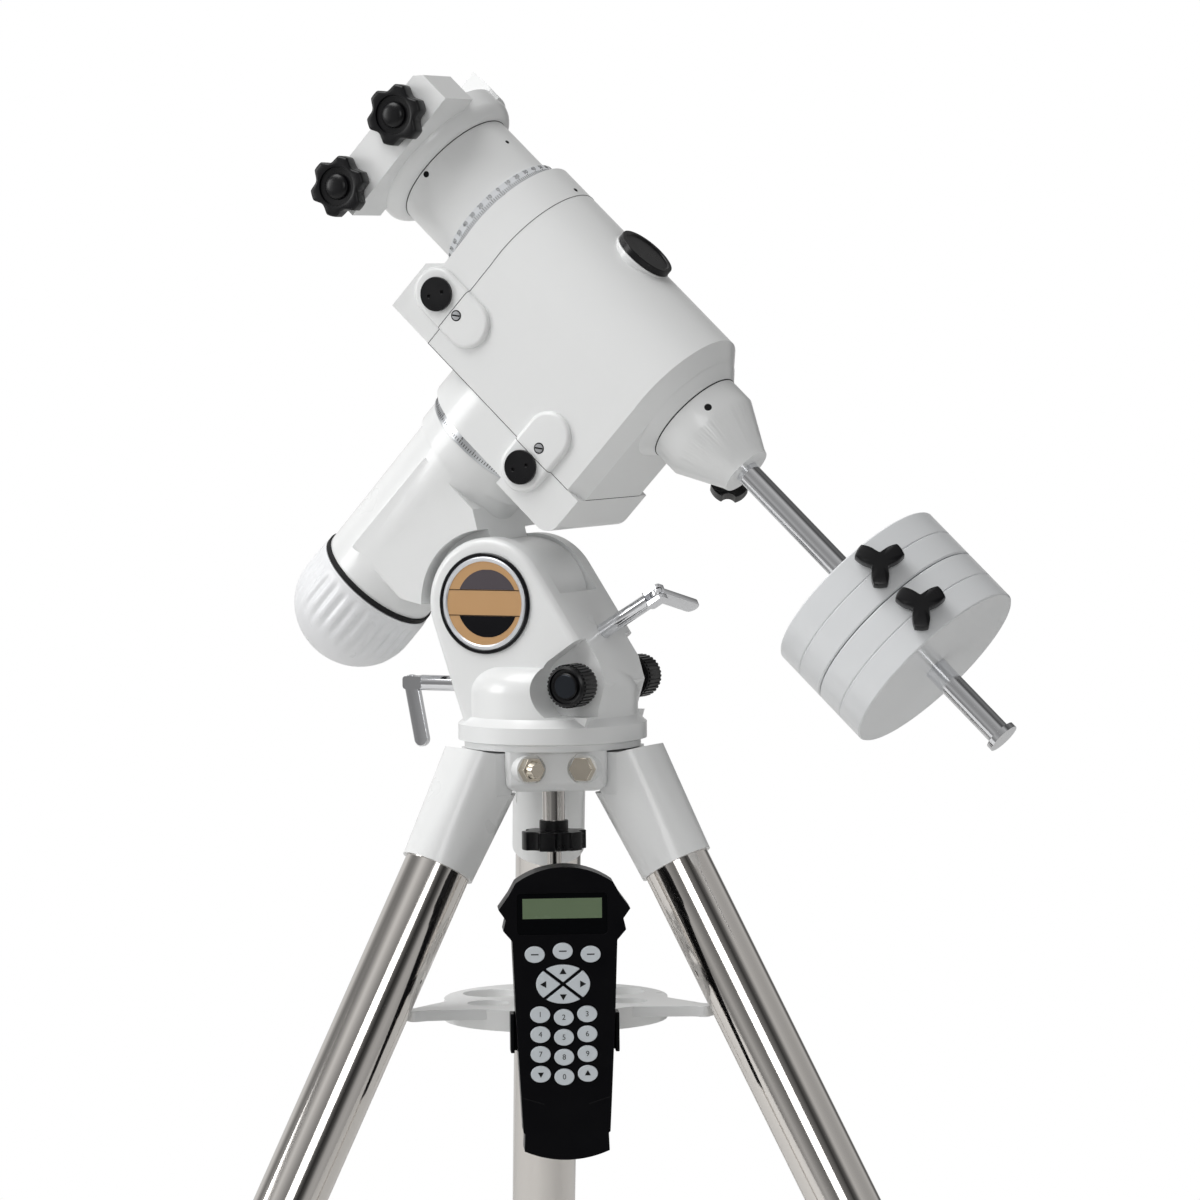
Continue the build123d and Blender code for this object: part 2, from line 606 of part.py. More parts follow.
RA_WORM_V, DEC_WORM_U, DEC_WORM_V = -54.0, -57.7, 85.5
ring(across_ra(-112), POLAR_AXLE_R + 0.5, 45.6, 16, "ra_worm_wheel")
worm(Plane(origin=head(-104.2, RA_WORM_V), x_dir=RA_DIR, z_dir=NEAR), 16, "ra_worm")
ring(across_dec(77.5), AXLE_R + GAP, 49.3, 16, "dec_worm_wheel")
worm(Plane(origin=head(DEC_WORM_U, DEC_WORM_V), x_dir=RA_DIR, z_dir=NEAR), 16, "dec_worm")

# ---------------------------------------------------------------- declination housing
BOTTOM_V, SEAM_V, COVER_V, BEVEL, WALL = -104.0, 68.0, 98.0, 12.0, 6.0


def housing_plan(inset=0.0):
    """D-shaped plan of the housing in the current sketch: round nose to the north, flat back."""
    corner = (-10, HALF_WIDTH + 1.15)
    with BuildLine() as edge:
        Polyline((-10, -corner[1]), (REAR_U, -HALF_WIDTH), (REAR_U, HALF_WIDTH), corner)
        ThreePointArc(corner, (NOSE_R, 0), (-10, -corner[1]))
    make_face(edge.edges())
    if inset:
        offset(amount=-inset, kind=Kind.INTERSECTION)


def capsule(start, end, radius):
    """Raised pad over a worm's end on the near side, with soft edges."""
    run = Vector(*end) - Vector(*start)
    with BuildPart() as pad:
        with BuildSketch(SIDE.offset(HALF_WIDTH - 3)):
            middle = (Vector(*start) + Vector(*end)) * 0.5
            with Locations((middle.X, middle.Y)):
                SlotCenterToCenter(run.length, 2 * radius, rotation=run.get_angle(Vector(1, 0)))
        extrude(amount=7.5)
        fillet(pad.faces().sort_by(Axis(SIDE.origin, NEAR))[-1].edges(), radius=3.5)
    return pad.part


DEC_PAD = capsule((DEC_WORM_U, 53), (DEC_WORM_U, 88), 19)
RA_PAD = capsule((-104.2, RA_WORM_V), (-73, RA_WORM_V), 19)
SEAM = across_dec(SEAM_V)
BACK = across_ra(REAR_U)
dec_pad_high = split(DEC_PAD, bisect_by=SEAM, keep=Keep.TOP)
dec_pad_low = split(DEC_PAD, bisect_by=SEAM, keep=Keep.BOTTOM)
ra_pad_front = split(RA_PAD, bisect_by=BACK, keep=Keep.TOP)
ra_pad_back = split(RA_PAD, bisect_by=BACK, keep=Keep.BOTTOM)

with BuildPart() as dec_housing:
    with BuildSketch(across_dec(BOTTOM_V)):
        housing_plan()
    extrude(amount=SEAM_V - BOTTOM_V)
    rim = dec_housing.edges().group_by(Axis(SIDE.origin, DEC_UP))[0]
    chamfer([e for e in rim if SIDE.to_local_coords(e.center()).X > REAR_U + 1], length=BEVEL)
    add(dec_pad_low)
    add(ra_pad_front)
    with BuildSketch(across_dec(BOTTOM_V + 10)):
        housing_plan(WALL)
    extrude(amount=SEAM_V - BOTTOM_V, mode=Mode.SUBTRACT)
    with BuildSketch(across_dec(BOTTOM_V)):
        Circle(36)
    extrude(amount=SEAM_V - BOTTOM_V)
    with BuildSketch(across_ra(40)):
        Circle(23.5)
    extrude(amount=NOSE_R + 0.3 - 40)
    with BuildSketch(across_dec(-112.6)):
        Circle(39.4)
    with BuildSketch(across_dec(BOTTOM_V)):
        Circle(47.6)
    loft()
    with BuildSketch(across_dec(-96)):
        Circle(30)
    extrude(amount=SEAM_V + 96 - 16, mode=Mode.SUBTRACT)
    with BuildSketch(across_dec(-120)):
        Circle(AXLE_R + FIT)
    extrude(amount=200, mode=Mode.SUBTRACT)
    with BuildSketch(across_ra(REAR_U - 1)):
        Circle(17)
    extrude(amount=170, mode=Mode.SUBTRACT)
    with BuildSketch(SIDE.offset(HALF_WIDTH)):  # adjusting screw's recess
        with Locations((-83.7, -55.2)):
            Circle(4.2)
    extrude(amount=10, mode=Mode.SUBTRACT)
save(dec_housing, "dec_housing")

with BuildPart() as dec_top_cover:
    with BuildSketch(SEAM):
        housing_plan()
    extrude(amount=COVER_V - SEAM_V)
    with BuildSketch(SIDE):  # motor bay behind the neck
        Polygon([(REAR_U, 90), (REAR_U, 110), (-49, 110), (-38, COVER_V), (-38, 90)])
    extrude(amount=HALF_WIDTH, both=True)
    add(dec_pad_high)
    with BuildSketch(across_dec(COVER_V)):
        Circle(54)
    extrude(amount=20, mode=Mode.SUBTRACT)
    with BuildSketch(SEAM):
        housing_plan(WALL)
    extrude(amount=COVER_V - 4 - SEAM_V, mode=Mode.SUBTRACT)
    with BuildSketch(across_dec(90)):
        Circle(23)
    extrude(amount=20, mode=Mode.SUBTRACT)
    with BuildSketch(Plane(origin=head(DEC_WORM_U, DEC_WORM_V), x_dir=RA_DIR, z_dir=NEAR)):
        Circle(8.5)
    extrude(amount=70, mode=Mode.SUBTRACT)
    with BuildSketch(DEC_CLUTCH):
        Circle(CLUTCH_STUD_R + FIT)
    extrude(amount=-12, mode=Mode.SUBTRACT)
save(dec_top_cover, "dec_top_cover")

CLEAR_R = 54.0  # cut round the polar collar
with BuildPart() as ra_cover:
    with BuildSketch(across_ra(-123.5)):
        Circle(HALF_WIDTH)
        with Locations((BOTTOM_V / 2, 0)):
            Rectangle(-BOTTOM_V, 2 * HALF_WIDTH)
    extrude(amount=31.5)
    with BuildSketch(across_ra(-129.5)):
        with Locations(((BOTTOM_V - 45) / 2, 0)):
            Rectangle(-BOTTOM_V - 45, 2 * HALF_WIDTH)
        Circle(CLEAR_R, mode=Mode.SUBTRACT)
    extrude(amount=8)
    low_rim = ra_cover.edges().filter_by(Axis.Y).sort_by(Axis(SIDE.origin, RA_DIR + DEC_UP))[0]
    fillet(low_rim, radius=12)
    add(ra_pad_back)
    with BuildSketch(across_ra(-118)):
        Circle(51)
        with Locations((-50, 0)):
            Rectangle(96, 102)
    extrude(amount=30, mode=Mode.SUBTRACT)
    with BuildSketch(across_ra(-130)):
        Circle(POLAR_AXLE_R + GAP)
    extrude(amount=40, mode=Mode.SUBTRACT)
    with BuildSketch(Plane(origin=head(-104.2, RA_WORM_V), x_dir=RA_DIR, z_dir=NEAR)):
        Circle(8.5)
    extrude(amount=70, mode=Mode.SUBTRACT)
save(ra_cover, "ra_cover")

with BuildPart() as worm_caps:
    for u, v in ((DEC_WORM_U, DEC_WORM_V), (-104.2, RA_WORM_V)):
        with BuildSketch(SIDE.offset(HALF_WIDTH + 4.52)):
            with Locations((u, v)):
                Circle(13)
        extrude(amount=3.2)
        with BuildSketch(SIDE.offset(HALF_WIDTH - 2)):
            with Locations((u, v)):
                Circle(8.3)
        extrude(amount=7)
        with BuildSketch(SIDE.offset(HALF_WIDTH + 5.7)):
            with Locations((u - 5, v + 3), (u + 5, v - 3)):
                Circle(1.3)
        extrude(amount=5, mode=Mode.SUBTRACT)
save(worm_caps, "worm_caps")

with BuildPart() as front_port_cap:
    with BuildSketch(across_ra(NOSE_R + 0.4)):
        Circle(23)
    extrude(amount=5.2)
    with BuildSketch(across_ra(46)):
        Circle(16.9)
    extrude(amount=NOSE_R - 45)
    with BuildSketch(across_ra(NOSE_R + 4.6)):
        Circle(19.5)
    extrude(amount=5, mode=Mode.SUBTRACT)
save(front_port_cap, "front_port_cap")

CIRCLE_LOW, NECK_LOW, NECK_TOP = COVER_V + GAP, 109.5, 162.0
ring(across_dec(CIRCLE_LOW), AXLE_R + 1.2, 52.5, NECK_LOW - CIRCLE_LOW - GAP, "dec_setting_circle")


def clutch_lever(seat, name):
    """Small clutch lever: round hub on its stud and a flat arm."""
    with BuildPart() as lever:
        with BuildSketch(seat):
            Circle(8)
        extrude(amount=9)
        with BuildSketch(seat.offset(4)):
            with Locations((CLUTCH_REACH / 2, 0)):
                SlotCenterToCenter(CLUTCH_REACH, 10)
        extrude(amount=5)
        with BuildSketch(seat):
            Circle(CLUTCH_STUD_R)
        extrude(amount=-CLUTCH_STUD)
    save(lever, name)


clutch_lever(DEC_CLUTCH, "dec_clutch_lever")
clutch_lever(RA_CLUTCH, "ra_clutch_lever")

# ---------------------------------------------------------------- declination axle, saddle
with BuildPart() as dec_head:
    with BuildSketch(SIDE):
        Polygon([(SHAFT_R + 0.5, -126), (AXLE_R, -126), (AXLE_R, NECK_LOW), (NECK_R, NECK_LOW),
                 (NECK_R, NECK_TOP), (0, NECK_TOP), (0, 150), (40, 150), (40, 117), (SHAFT_R + 0.5, 117)])
    revolve(axis=DEC_AXIS)
    with BuildSketch(across_ra(-30)):
        Circle(15)
    extrude(amount=60, mode=Mode.SUBTRACT)
save(dec_head, "dec_head")

GROOVE_V, BLOCK_TOP = 186.0, 205.0
SADDLE_KNOBS = {"upper": 26.0, "lower": -46.0}
SCREW_V = 192.0
with BuildPart() as saddle:
    with BuildSketch(SIDE):
        with BuildLine():
            Polyline((0, NECK_TOP), (NECK_R, NECK_TOP))
            ThreePointArc((NECK_R, NECK_TOP), (56.5, 165.5), (60, 172))
            Polyline((60, 172), (60, GROOVE_V), (0, GROOVE_V), (0, NECK_TOP))
        make_face()
    revolve(axis=DEC_AXIS)
    with BuildSketch(SIDE.offset(33)):  # near clamp block, stepped on its inner side
        Polygon([(-58, 173), (60, 173), (60, 199), (54, BLOCK_TOP), (-50, BLOCK_TOP), (-58, 199)])
    extrude(amount=43)
    with BuildSketch(SIDE.offset(32)):
        Polygon([(-70, 199), (70, 199), (70, 220), (-70, 220)])
    extrude(amount=18, mode=Mode.SUBTRACT)
    with BuildSketch(across_dec(GROOVE_V - 10)):  # far jaw on the round edge
        Circle(62)
        with Locations((0, -49)):
            Rectangle(140, 122, mode=Mode.SUBTRACT)
    extrude(amount=37)
    with BuildSketch(across_ra(-70)):
        Polygon([(GROOVE_V, -13), (214, -30), (230, -30), (230, 0), (GROOVE_V, 0)])
    extrude(amount=140, mode=Mode.SUBTRACT)
    for u in SADDLE_KNOBS.values():
        with BuildSketch(SIDE.offset(30)):
            with Locations((u, SCREW_V)):
                Circle(5 + FIT)
        extrude(amount=60, mode=Mode.SUBTRACT)
save(saddle, "saddle")
for name, u in SADDLE_KNOBS.items():
    seat = Plane(origin=head(u, SCREW_V, 78), x_dir=RA_DIR, z_dir=NEAR)
    save(hand_wheel(seat, 6, 23, 12.5, 5, -40, 9.5, 2.5), f"saddle_knob_{name}")

# ---------------------------------------------------------------- counterweight shaft
CONE_TOP, CONE_END = -112.9, -171.0
LOCK_V, LOCK_REACH, LOCK_ANGLE = -156.0, 37.0, 50.0  # lock screw: its boss, turned from south to the far side
lock_out = RA_DIR * -cos(radians(LOCK_ANGLE)) - NEAR * sin(radians(LOCK_ANGLE))
lock_boss = Plane(origin=head(0, LOCK_V) + lock_out * LOCK_REACH, x_dir=DEC_UP, z_dir=lock_out)
with BuildPart() as shaft_cone:
    with BuildSketch(SIDE):
        Polygon([(SHAFT_R + FIT, CONE_TOP), (39, CONE_TOP), (39, -133), (21.5, -167), (20, CONE_END),
                 (SHAFT_R + FIT, CONE_END)])
    revolve(axis=DEC_AXIS)
    with BuildSketch(lock_boss):
        Circle(8)
    extrude(amount=-24)
    with BuildSketch(across_dec(-126.1)):
        Circle(AXLE_R + 0.02)
    extrude(amount=20, mode=Mode.SUBTRACT)
    with BuildSketch(across_dec(CONE_END - 2)):
        Circle(SHAFT_R + FIT)
    extrude(amount=70, mode=Mode.SUBTRACT)
    with BuildSketch(lock_boss):
        Circle(4 + FIT)
    extrude(amount=-33, mode=Mode.SUBTRACT)
save(shaft_cone, "shaft_cone")
save(hand_wheel(lock_boss.offset(1), 4, 15, 11, 4, -28.5), "shaft_lock_knob")

SHAFT_TOP, SHAFT_END, STOP_R = -30.0, -449.0, 12.5
with BuildPart() as counterweight_shaft:
    with BuildSketch(across_dec(SHAFT_END)):
        Circle(SHAFT_R)
    extrude(amount=SHAFT_TOP - SHAFT_END)
    with BuildSketch(across_dec(SHAFT_END)):
        Circle(STOP_R)
    extrude(amount=-4.4)
save(counterweight_shaft, "counterweight_shaft")

WEIGHTS = {"upper": -336.0, "lower": -379.8}  # lower faces
KNOB_ANGLE = 54.0  # of the weight screws, from north towards the near side
WEIGHT_SCREW_R = 4.0
side_dir = RA_DIR * cos(radians(KNOB_ANGLE)) + NEAR * sin(radians(KNOB_ANGLE))
for name, v in WEIGHTS.items():
    screw_v = v + WEIGHT_THICK / 2
    screw_seat = Plane(origin=head(0, screw_v) + side_dir * (WEIGHT_R + 3), x_dir=DEC_UP, z_dir=side_dir)
    with BuildPart() as counterweight:
        with BuildSketch(SIDE):
            groove = 0.8
            Polygon([(SHAFT_R + FIT, v), (WEIGHT_R - 1, v), (WEIGHT_R, v + 1), (WEIGHT_R, screw_v - groove),
                     (WEIGHT_R - groove, screw_v), (WEIGHT_R, screw_v + groove),
                     (WEIGHT_R, v + WEIGHT_THICK - 1), (WEIGHT_R - 1, v + WEIGHT_THICK),
                     (SHAFT_R + FIT, v + WEIGHT_THICK)])
        revolve(axis=DEC_AXIS)
        with BuildSketch(screw_seat):
            Circle(WEIGHT_SCREW_R + FIT)
        extrude(amount=-WEIGHT_R + 2, mode=Mode.SUBTRACT)
    save(counterweight, f"counterweight_{name}")
    with BuildPart() as weight_knob:
        with BuildSketch(screw_seat):
            Circle(8)
            with PolarLocations(8, 3, start_angle=20):
                SlotCenterToCenter(12, 9)
        extrude(amount=9)
        with BuildSketch(screw_seat.offset(-WEIGHT_R + 8)):
            Circle(WEIGHT_SCREW_R)
        extrude(amount=WEIGHT_R - 7)
    save(weight_knob, f"counterweight_knob_{name}")

# ---------------------------------------------------------------- hand controller
HANDSET_AT = -60.0  # azimuth of the hand controller
CASE_BACK, CASE_FRONT, CASE_MID = 101.0, 129.0, 1.7


def handset_plane(out):
    """Upright plane facing out at the controller: x along its width, y up from the hub's top face."""
    facing = Vector(cos(radians(HANDSET_AT)), sin(radians(HANDSET_AT)), 0)
    width = Vector(-facing.Y, facing.X, 0)
    origin = facing * out + width * CASE_MID + Vector(0, 0, HUB_Z)
    return Plane(origin=origin, x_dir=width, z_dir=facing)


KEY_COLUMNS, KEY_ROWS = (-18.9, -1.5, 15.8), (-188.4, -203.2, -217.9, -232.6)
TOP_KEYS = ((-22.4, -143.8), (-1.7, -141.5), (18.9, -144.1))
KEY_TRAVEL = 0.8
MIDDLE_DROP = 2.3  # the middle column sits lower
NUMBER_KEYS = [(x, y - (MIDDLE_DROP if x == KEY_COLUMNS[1] else 0)) for x in KEY_COLUMNS for y in KEY_ROWS]
ARROWS = (-1.7, -166.0)


def key_faces(grow=0.0):
    """Oval keys of the controller in the current sketch."""
    with Locations(*TOP_KEYS, *NUMBER_KEYS):
        Ellipse(7.35 + grow, 6.1 + grow)


def arrow_faces(grow=0.0):
    """Four arrow keys: an ellipse split by a cross."""
    with Locations(ARROWS):
        Ellipse(19.9 + grow, 14.4 + grow)
        for turn in (38, -38):
            Rectangle(37, 2.4 - 2 * grow, rotation=turn, mode=Mode.SUBTRACT)


with BuildPart() as handset_case:
    with BuildSketch(handset_plane(CASE_BACK)):
        with BuildLine():
            right = [(36, -91), (41, -100), (48.7, -110.7), (43.5, -118), (45.4, -126.3), (38.8, -134),
                     (36.9, -184), (33.6, -250), (32.2, -276), (31, -277), (31.5, -290)]
            ThreePointArc((-36, -91), (0, -79.4), (36, -91))
            Polyline(*right)
            ThreePointArc((31.5, -290), (0, -296.7), (-31.5, -290))
            Polyline(*[(-x, y) for x, y in reversed(right)])
        make_face()
    extrude(amount=CASE_FRONT - CASE_BACK)
    with BuildSketch(handset_plane(CASE_FRONT)):
        key_faces(GAP)
        arrow_faces(GAP)
    extrude(amount=-4, mode=Mode.SUBTRACT)
    with BuildSketch(handset_plane(CASE_FRONT)):
        with Locations((-1.7, -114)):
            RectangleRounded(66.6, 30.7, 2.5)
    extrude(amount=-0.8, mode=Mode.SUBTRACT)
    with BuildSketch(handset_plane(CASE_FRONT - 0.8)):
        with Locations((-1.7, -110)):
            Rectangle(59, 15.1)
    extrude(amount=-1.2, mode=Mode.SUBTRACT)
save(handset_case, "handset_case")

with BuildPart() as handset_keys:
    with BuildSketch(handset_plane(CASE_FRONT - 4 + KEY_TRAVEL + 0.2)):
        key_faces()
    extrude(amount=4.2)
save(handset_keys, "handset_keys")

with BuildPart() as handset_arrows:
    with BuildSketch(handset_plane(CASE_FRONT - 4 + KEY_TRAVEL + 0.2)):
        arrow_faces()
    extrude(amount=4.2)
save(handset_arrows, "handset_arrows")

HOLDER_TOP, HOLDER_LOW, HOLDER_HALF = -189.5, -218.7, 37.4
with BuildPart() as handset_holder:
    with BuildSketch(handset_plane(CASE_BACK - 3.6)):
        with Locations((0, (HOLDER_TOP + HOLDER_LOW) / 2)):
            Rectangle(2 * HOLDER_HALF + 6, HOLDER_TOP - HOLDER_LOW)
    extrude(amount=3.3)
    for side in (1, -1):
        with BuildSketch(handset_plane(CASE_BACK - 3.6)):
            with Locations((side * (HOLDER_HALF + 1.5), (HOLDER_TOP + HOLDER_LOW) / 2)):
                Rectangle(3, HOLDER_TOP - HOLDER_LOW)
        extrude(amount=18)
    with BuildSketch(handset_plane(TRAY_R - 0.5)):
        with Locations((-CASE_MID, TRAY_Z - TRAY_THICK - 5)):
            Rectangle(30, 8)
    extrude(amount=CASE_BACK - 3.6 - TRAY_R + 0.5)
save(handset_holder, "handset_holder")
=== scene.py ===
import json
from math import asin, cos, pi, radians, sin, sqrt

import bmesh
import bpy
from mathutils import Matrix, Vector

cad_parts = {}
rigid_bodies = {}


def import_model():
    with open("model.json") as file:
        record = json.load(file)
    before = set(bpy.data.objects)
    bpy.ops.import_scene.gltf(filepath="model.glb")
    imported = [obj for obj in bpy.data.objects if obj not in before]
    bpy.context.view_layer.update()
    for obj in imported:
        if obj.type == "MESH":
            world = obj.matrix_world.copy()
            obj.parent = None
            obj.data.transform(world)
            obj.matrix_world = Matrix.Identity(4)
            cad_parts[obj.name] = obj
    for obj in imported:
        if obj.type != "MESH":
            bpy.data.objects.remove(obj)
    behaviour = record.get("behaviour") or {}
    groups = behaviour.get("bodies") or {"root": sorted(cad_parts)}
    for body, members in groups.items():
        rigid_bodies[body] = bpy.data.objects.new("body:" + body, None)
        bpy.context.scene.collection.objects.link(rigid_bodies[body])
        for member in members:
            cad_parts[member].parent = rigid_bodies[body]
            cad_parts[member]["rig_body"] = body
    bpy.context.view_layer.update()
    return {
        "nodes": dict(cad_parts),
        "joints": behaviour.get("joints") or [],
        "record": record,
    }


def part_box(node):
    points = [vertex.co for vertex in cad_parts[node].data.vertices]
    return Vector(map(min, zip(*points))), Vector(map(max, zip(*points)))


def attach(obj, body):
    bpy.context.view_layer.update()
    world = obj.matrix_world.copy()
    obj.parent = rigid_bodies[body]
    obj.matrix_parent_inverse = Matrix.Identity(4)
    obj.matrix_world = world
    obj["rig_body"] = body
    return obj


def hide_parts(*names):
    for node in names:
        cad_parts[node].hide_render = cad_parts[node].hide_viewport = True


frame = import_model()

MM = 0.001

# ---------------------------------------------------------------- studio
# A long lens looks at the mount's controller side from a little above the hub.
# The room is a white tent: bright all round, with two dim gaps that the chrome picks up as dark streaks.
hub_top = Vector((0, 0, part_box("tripod_hub")[1].z))
azimuth, elevation, roll = radians(27.05), radians(3.32), radians(-0.64)
LENS_DISTANCE = 4.168
forward = Vector((-sin(azimuth) * cos(elevation), cos(azimuth) * cos(elevation), -sin(elevation)))
rightward = Vector((cos(azimuth), sin(azimuth), 0))
upward = rightward.cross(forward)
aim = hub_top + rightward * 37.02 * MM + Vector((0, 0, 109.84 * MM))
turn = Matrix((rightward * cos(roll) + upward * sin(roll),
               upward * cos(roll) - rightward * sin(roll), -forward))
camera = bpy.data.objects.new("camera", bpy.data.cameras.new("camera"))
bpy.context.scene.collection.objects.link(camera)
camera.matrix_world = Matrix.Translation(aim - forward * LENS_DISTANCE) @ turn.transposed().to_4x4()
camera.data.sensor_width = 36
camera.data.lens = 165
camera.data.clip_end = 50
bpy.context.scene.camera = camera
bpy.context.scene.view_settings.view_transform = "Standard"


def linear(code):
    """sRGB hex colour as linear red, green, blue and alpha."""
    parts = [int(code[i:i + 2], 16) / 255 for i in (1, 3, 5)]
    return tuple(c / 12.92 if c <= 0.04045 else ((c + 0.055) / 1.055) ** 2.4 for c in parts) + (1.0,)


def add_node(tree, kind, settings=None, links=None):
    """Adds a node, sets its attributes or socket values, and links its sockets."""
    node = tree.nodes.new(kind)
    for key, value in (settings or {}).items():
        if isinstance(key, int) or key in node.inputs:
            node.inputs[key].default_value = value
        else:
            setattr(node, key, value)
    for key, source in (links or {}).items():
        tree.links.new(source, node.inputs[key])
    return node


world = bpy.data.worlds.new("tent")
bpy.context.scene.world = world
world.use_nodes = True
tree = world.node_tree
tree.nodes.clear()
sky = add_node(tree, "ShaderNodeTexCoord")
across = add_node(tree, "ShaderNodeVectorMath", {"operation": "DOT_PRODUCT", 1: tuple(rightward)},
                  {0: sky.outputs["Generated"]})
spread = add_node(tree, "ShaderNodeMapRange", {"From Min": -1.0, "From Max": 1.0},
                  {"Value": across.outputs["Value"]})
bands = add_node(tree, "ShaderNodeValToRGB", None, {"Fac": spread.outputs["Result"]})
stops = ((0.0, 0.95), (0.08, 0.30), (0.16, 1.0), (0.44, 1.0), (0.62, 0.72), (0.72, 0.10), (0.79, 0.22),
         (0.86, 0.80), (1.0, 0.45))
while len(bands.color_ramp.elements) < len(stops):
    bands.color_ramp.elements.new(0.5)
for element, (place, level) in zip(bands.color_ramp.elements, stops):
    element.position = place
    element.color = (level, level * 0.995, level * 0.985, 1)
behind = add_node(tree, "ShaderNodeVectorMath", {"operation": "DOT_PRODUCT", 1: tuple(-forward)},
                  {0: sky.outputs["Generated"]})
room = add_node(tree, "ShaderNodeMapRange", {"From Min": 0.55, "From Max": 0.97, "To Min": 1.0, "To Max": 0.22},
                {"Value": behind.outputs["Value"]})
shade = add_node(tree, "ShaderNodeMath", {"operation": "MULTIPLY", 1: 0.68}, {0: room.outputs["Result"]})
tent = add_node(tree, "ShaderNodeBackground", None,
                {"Color": bands.outputs["Color"], "Strength": shade.outputs[0]})
paper = add_node(tree, "ShaderNodeBackground", {"Color": (1, 1, 1, 1), "Strength": 1.0})
seen = add_node(tree, "ShaderNodeLightPath")
mixed = add_node(tree, "ShaderNodeMixShader", None,
                 {0: seen.outputs["Is Camera Ray"], 1: tent.outputs[0], 2: paper.outputs[0]})
add_node(tree, "ShaderNodeOutputWorld", None, {"Surface": mixed.outputs[0]})


def softbox(name, place, size, power):
    """Square area light that faces the mount's head."""
    lamp = bpy.data.objects.new(name, bpy.data.lights.new(name, "AREA"))
    bpy.context.scene.collection.objects.link(lamp)
    lamp.data.size = size
    lamp.data.energy = power
    lamp.location = place
    lamp.rotation_euler = (hub_top + Vector((0, 0, 0.3)) - Vector(place)).to_track_quat("-Z", "Y").to_euler()


softbox("overhead", (-0.9, -1.1, 3.4), 1.8, 44)
softbox("left", (-2.8, -2.1, 1.7), 1.4, 30)
softbox("front", (1.5, -3.0, 1.7), 1.2, 15)

floor_mesh = bpy.data.meshes.new("floor")
shape = bmesh.new()
bmesh.ops.create_circle(shape, cap_ends=True, radius=2.2, segments=128)
shape.to_mesh(floor_mesh)
floor = bpy.data.objects.new("floor", floor_mesh)
bpy.context.scene.collection.objects.link(floor)
floor.location.z = -0.0005
paint = bpy.data.materials.new("pale matt floor")
paint.use_nodes = True
paint.node_tree.nodes["Principled BSDF"].inputs["Base Color"].default_value = linear("#e9e9e8")
paint.node_tree.nodes["Principled BSDF"].inputs["Roughness"].default_value = 0.8
floor_mesh.materials.append(paint)


# ---------------------------------------------------------------- tripod hub and its pivot bolts
# Cast aluminium hexagon with three slots, shot, primed and sprayed with white enamel.
# The wet coat flows into a soft gloss with a faint orange peel about a millimetre across.
def finish(name, base, roughness, metallic=0.0, **shader):
    """Starts a material: its tree, its shader and the place on the object."""
    material = bpy.data.materials.new(name)
    material.use_nodes = True
    tree = material.node_tree
    tree.nodes.clear()
    skin = add_node(tree, "ShaderNodeBsdfPrincipled",
                    {"Base Color": linear(base), "Roughness": roughness, "Metallic": metallic, **shader})
    add_node(tree, "ShaderNodeOutputMaterial", None, {"Surface": skin.outputs[0]})
    place = add_node(tree, "ShaderNodeTexCoord")
    return material, tree, skin, place.outputs["Object"]


def enamel(name, colour, grain_mm, depth_mm):
    """Sprayed enamel over a casting: faint orange peel, slight unevenness of gloss and tone."""
    material, tree, skin, place = finish(name, colour, 0.3, **{"Coat Weight": 0.35, "Coat Roughness": 0.08})
    peel = add_node(tree, "ShaderNodeTexNoise", {"Scale": 1000 / grain_mm, "Detail": 2.0}, {"Vector": place})
    wave = add_node(tree, "ShaderNodeBump", {"Strength": 0.35, "Distance": depth_mm * MM},
                    {"Height": peel.outputs["Fac"]})
    tree.links.new(wave.outputs["Normal"], skin.inputs["Normal"])
    drift = add_node(tree, "ShaderNodeTexNoise", {"Scale": 1000 / 60, "Detail": 3.0}, {"Vector": place})
    gloss = add_node(tree, "ShaderNodeMapRange", {"To Min": 0.24, "To Max": 0.36},
                     {"Value": drift.outputs["Fac"]})
    tree.links.new(gloss.outputs["Result"], skin.inputs["Roughness"])
    dust = tuple(c * 0.965 for c in linear(colour)[:3]) + (1.0,)
    tone = add_node(tree, "ShaderNodeMix", {"data_type": "RGBA", 6: linear(colour), 7: dust},
                    {0: drift.outputs["Fac"]})
    tree.links.new(tone.outputs[2], skin.inputs["Base Color"])
    return material


def plated(name, colour, roughness, patch_mm):
    """Bright metal: almost a mirror, a little hazier in broad patches where hands have been."""
    material, tree, skin, place = finish(name, colour, roughness, 1.0)
    haze = add_node(tree, "ShaderNodeTexNoise", {"Scale": 1000 / patch_mm, "Detail": 1.0}, {"Vector": place})
    rub = add_node(tree, "ShaderNodeMapRange", {"To Min": roughness * 0.8, "To Max": roughness * 1.25},
                   {"Value": haze.outputs["Fac"]})
    tree.links.new(rub.outputs["Result"], skin.inputs["Roughness"])
    return material


white_enamel = enamel("white enamel on cast aluminium", "#eceded", 1.1, 0.02)
nickel = plated("nickel plated steel", "#d8cfc0", 0.2, 12)


def place_piece(mesh, name, body, slot, material, *nodes):
    """Puts a finished mesh in the scene on its body and in place of its CAD nodes; its slot argument is not used.
    """
    piece = bpy.data.objects.new(name, mesh)
    bpy.context.scene.collection.objects.link(piece)
    if material:
        mesh.materials.clear()
        mesh.materials.append(material)
    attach(piece, body)
    if nodes:
        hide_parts(*nodes)
    return piece


slot_of = {s["node"]: s["material_slot"] for s in frame["record"]["subparts"]}


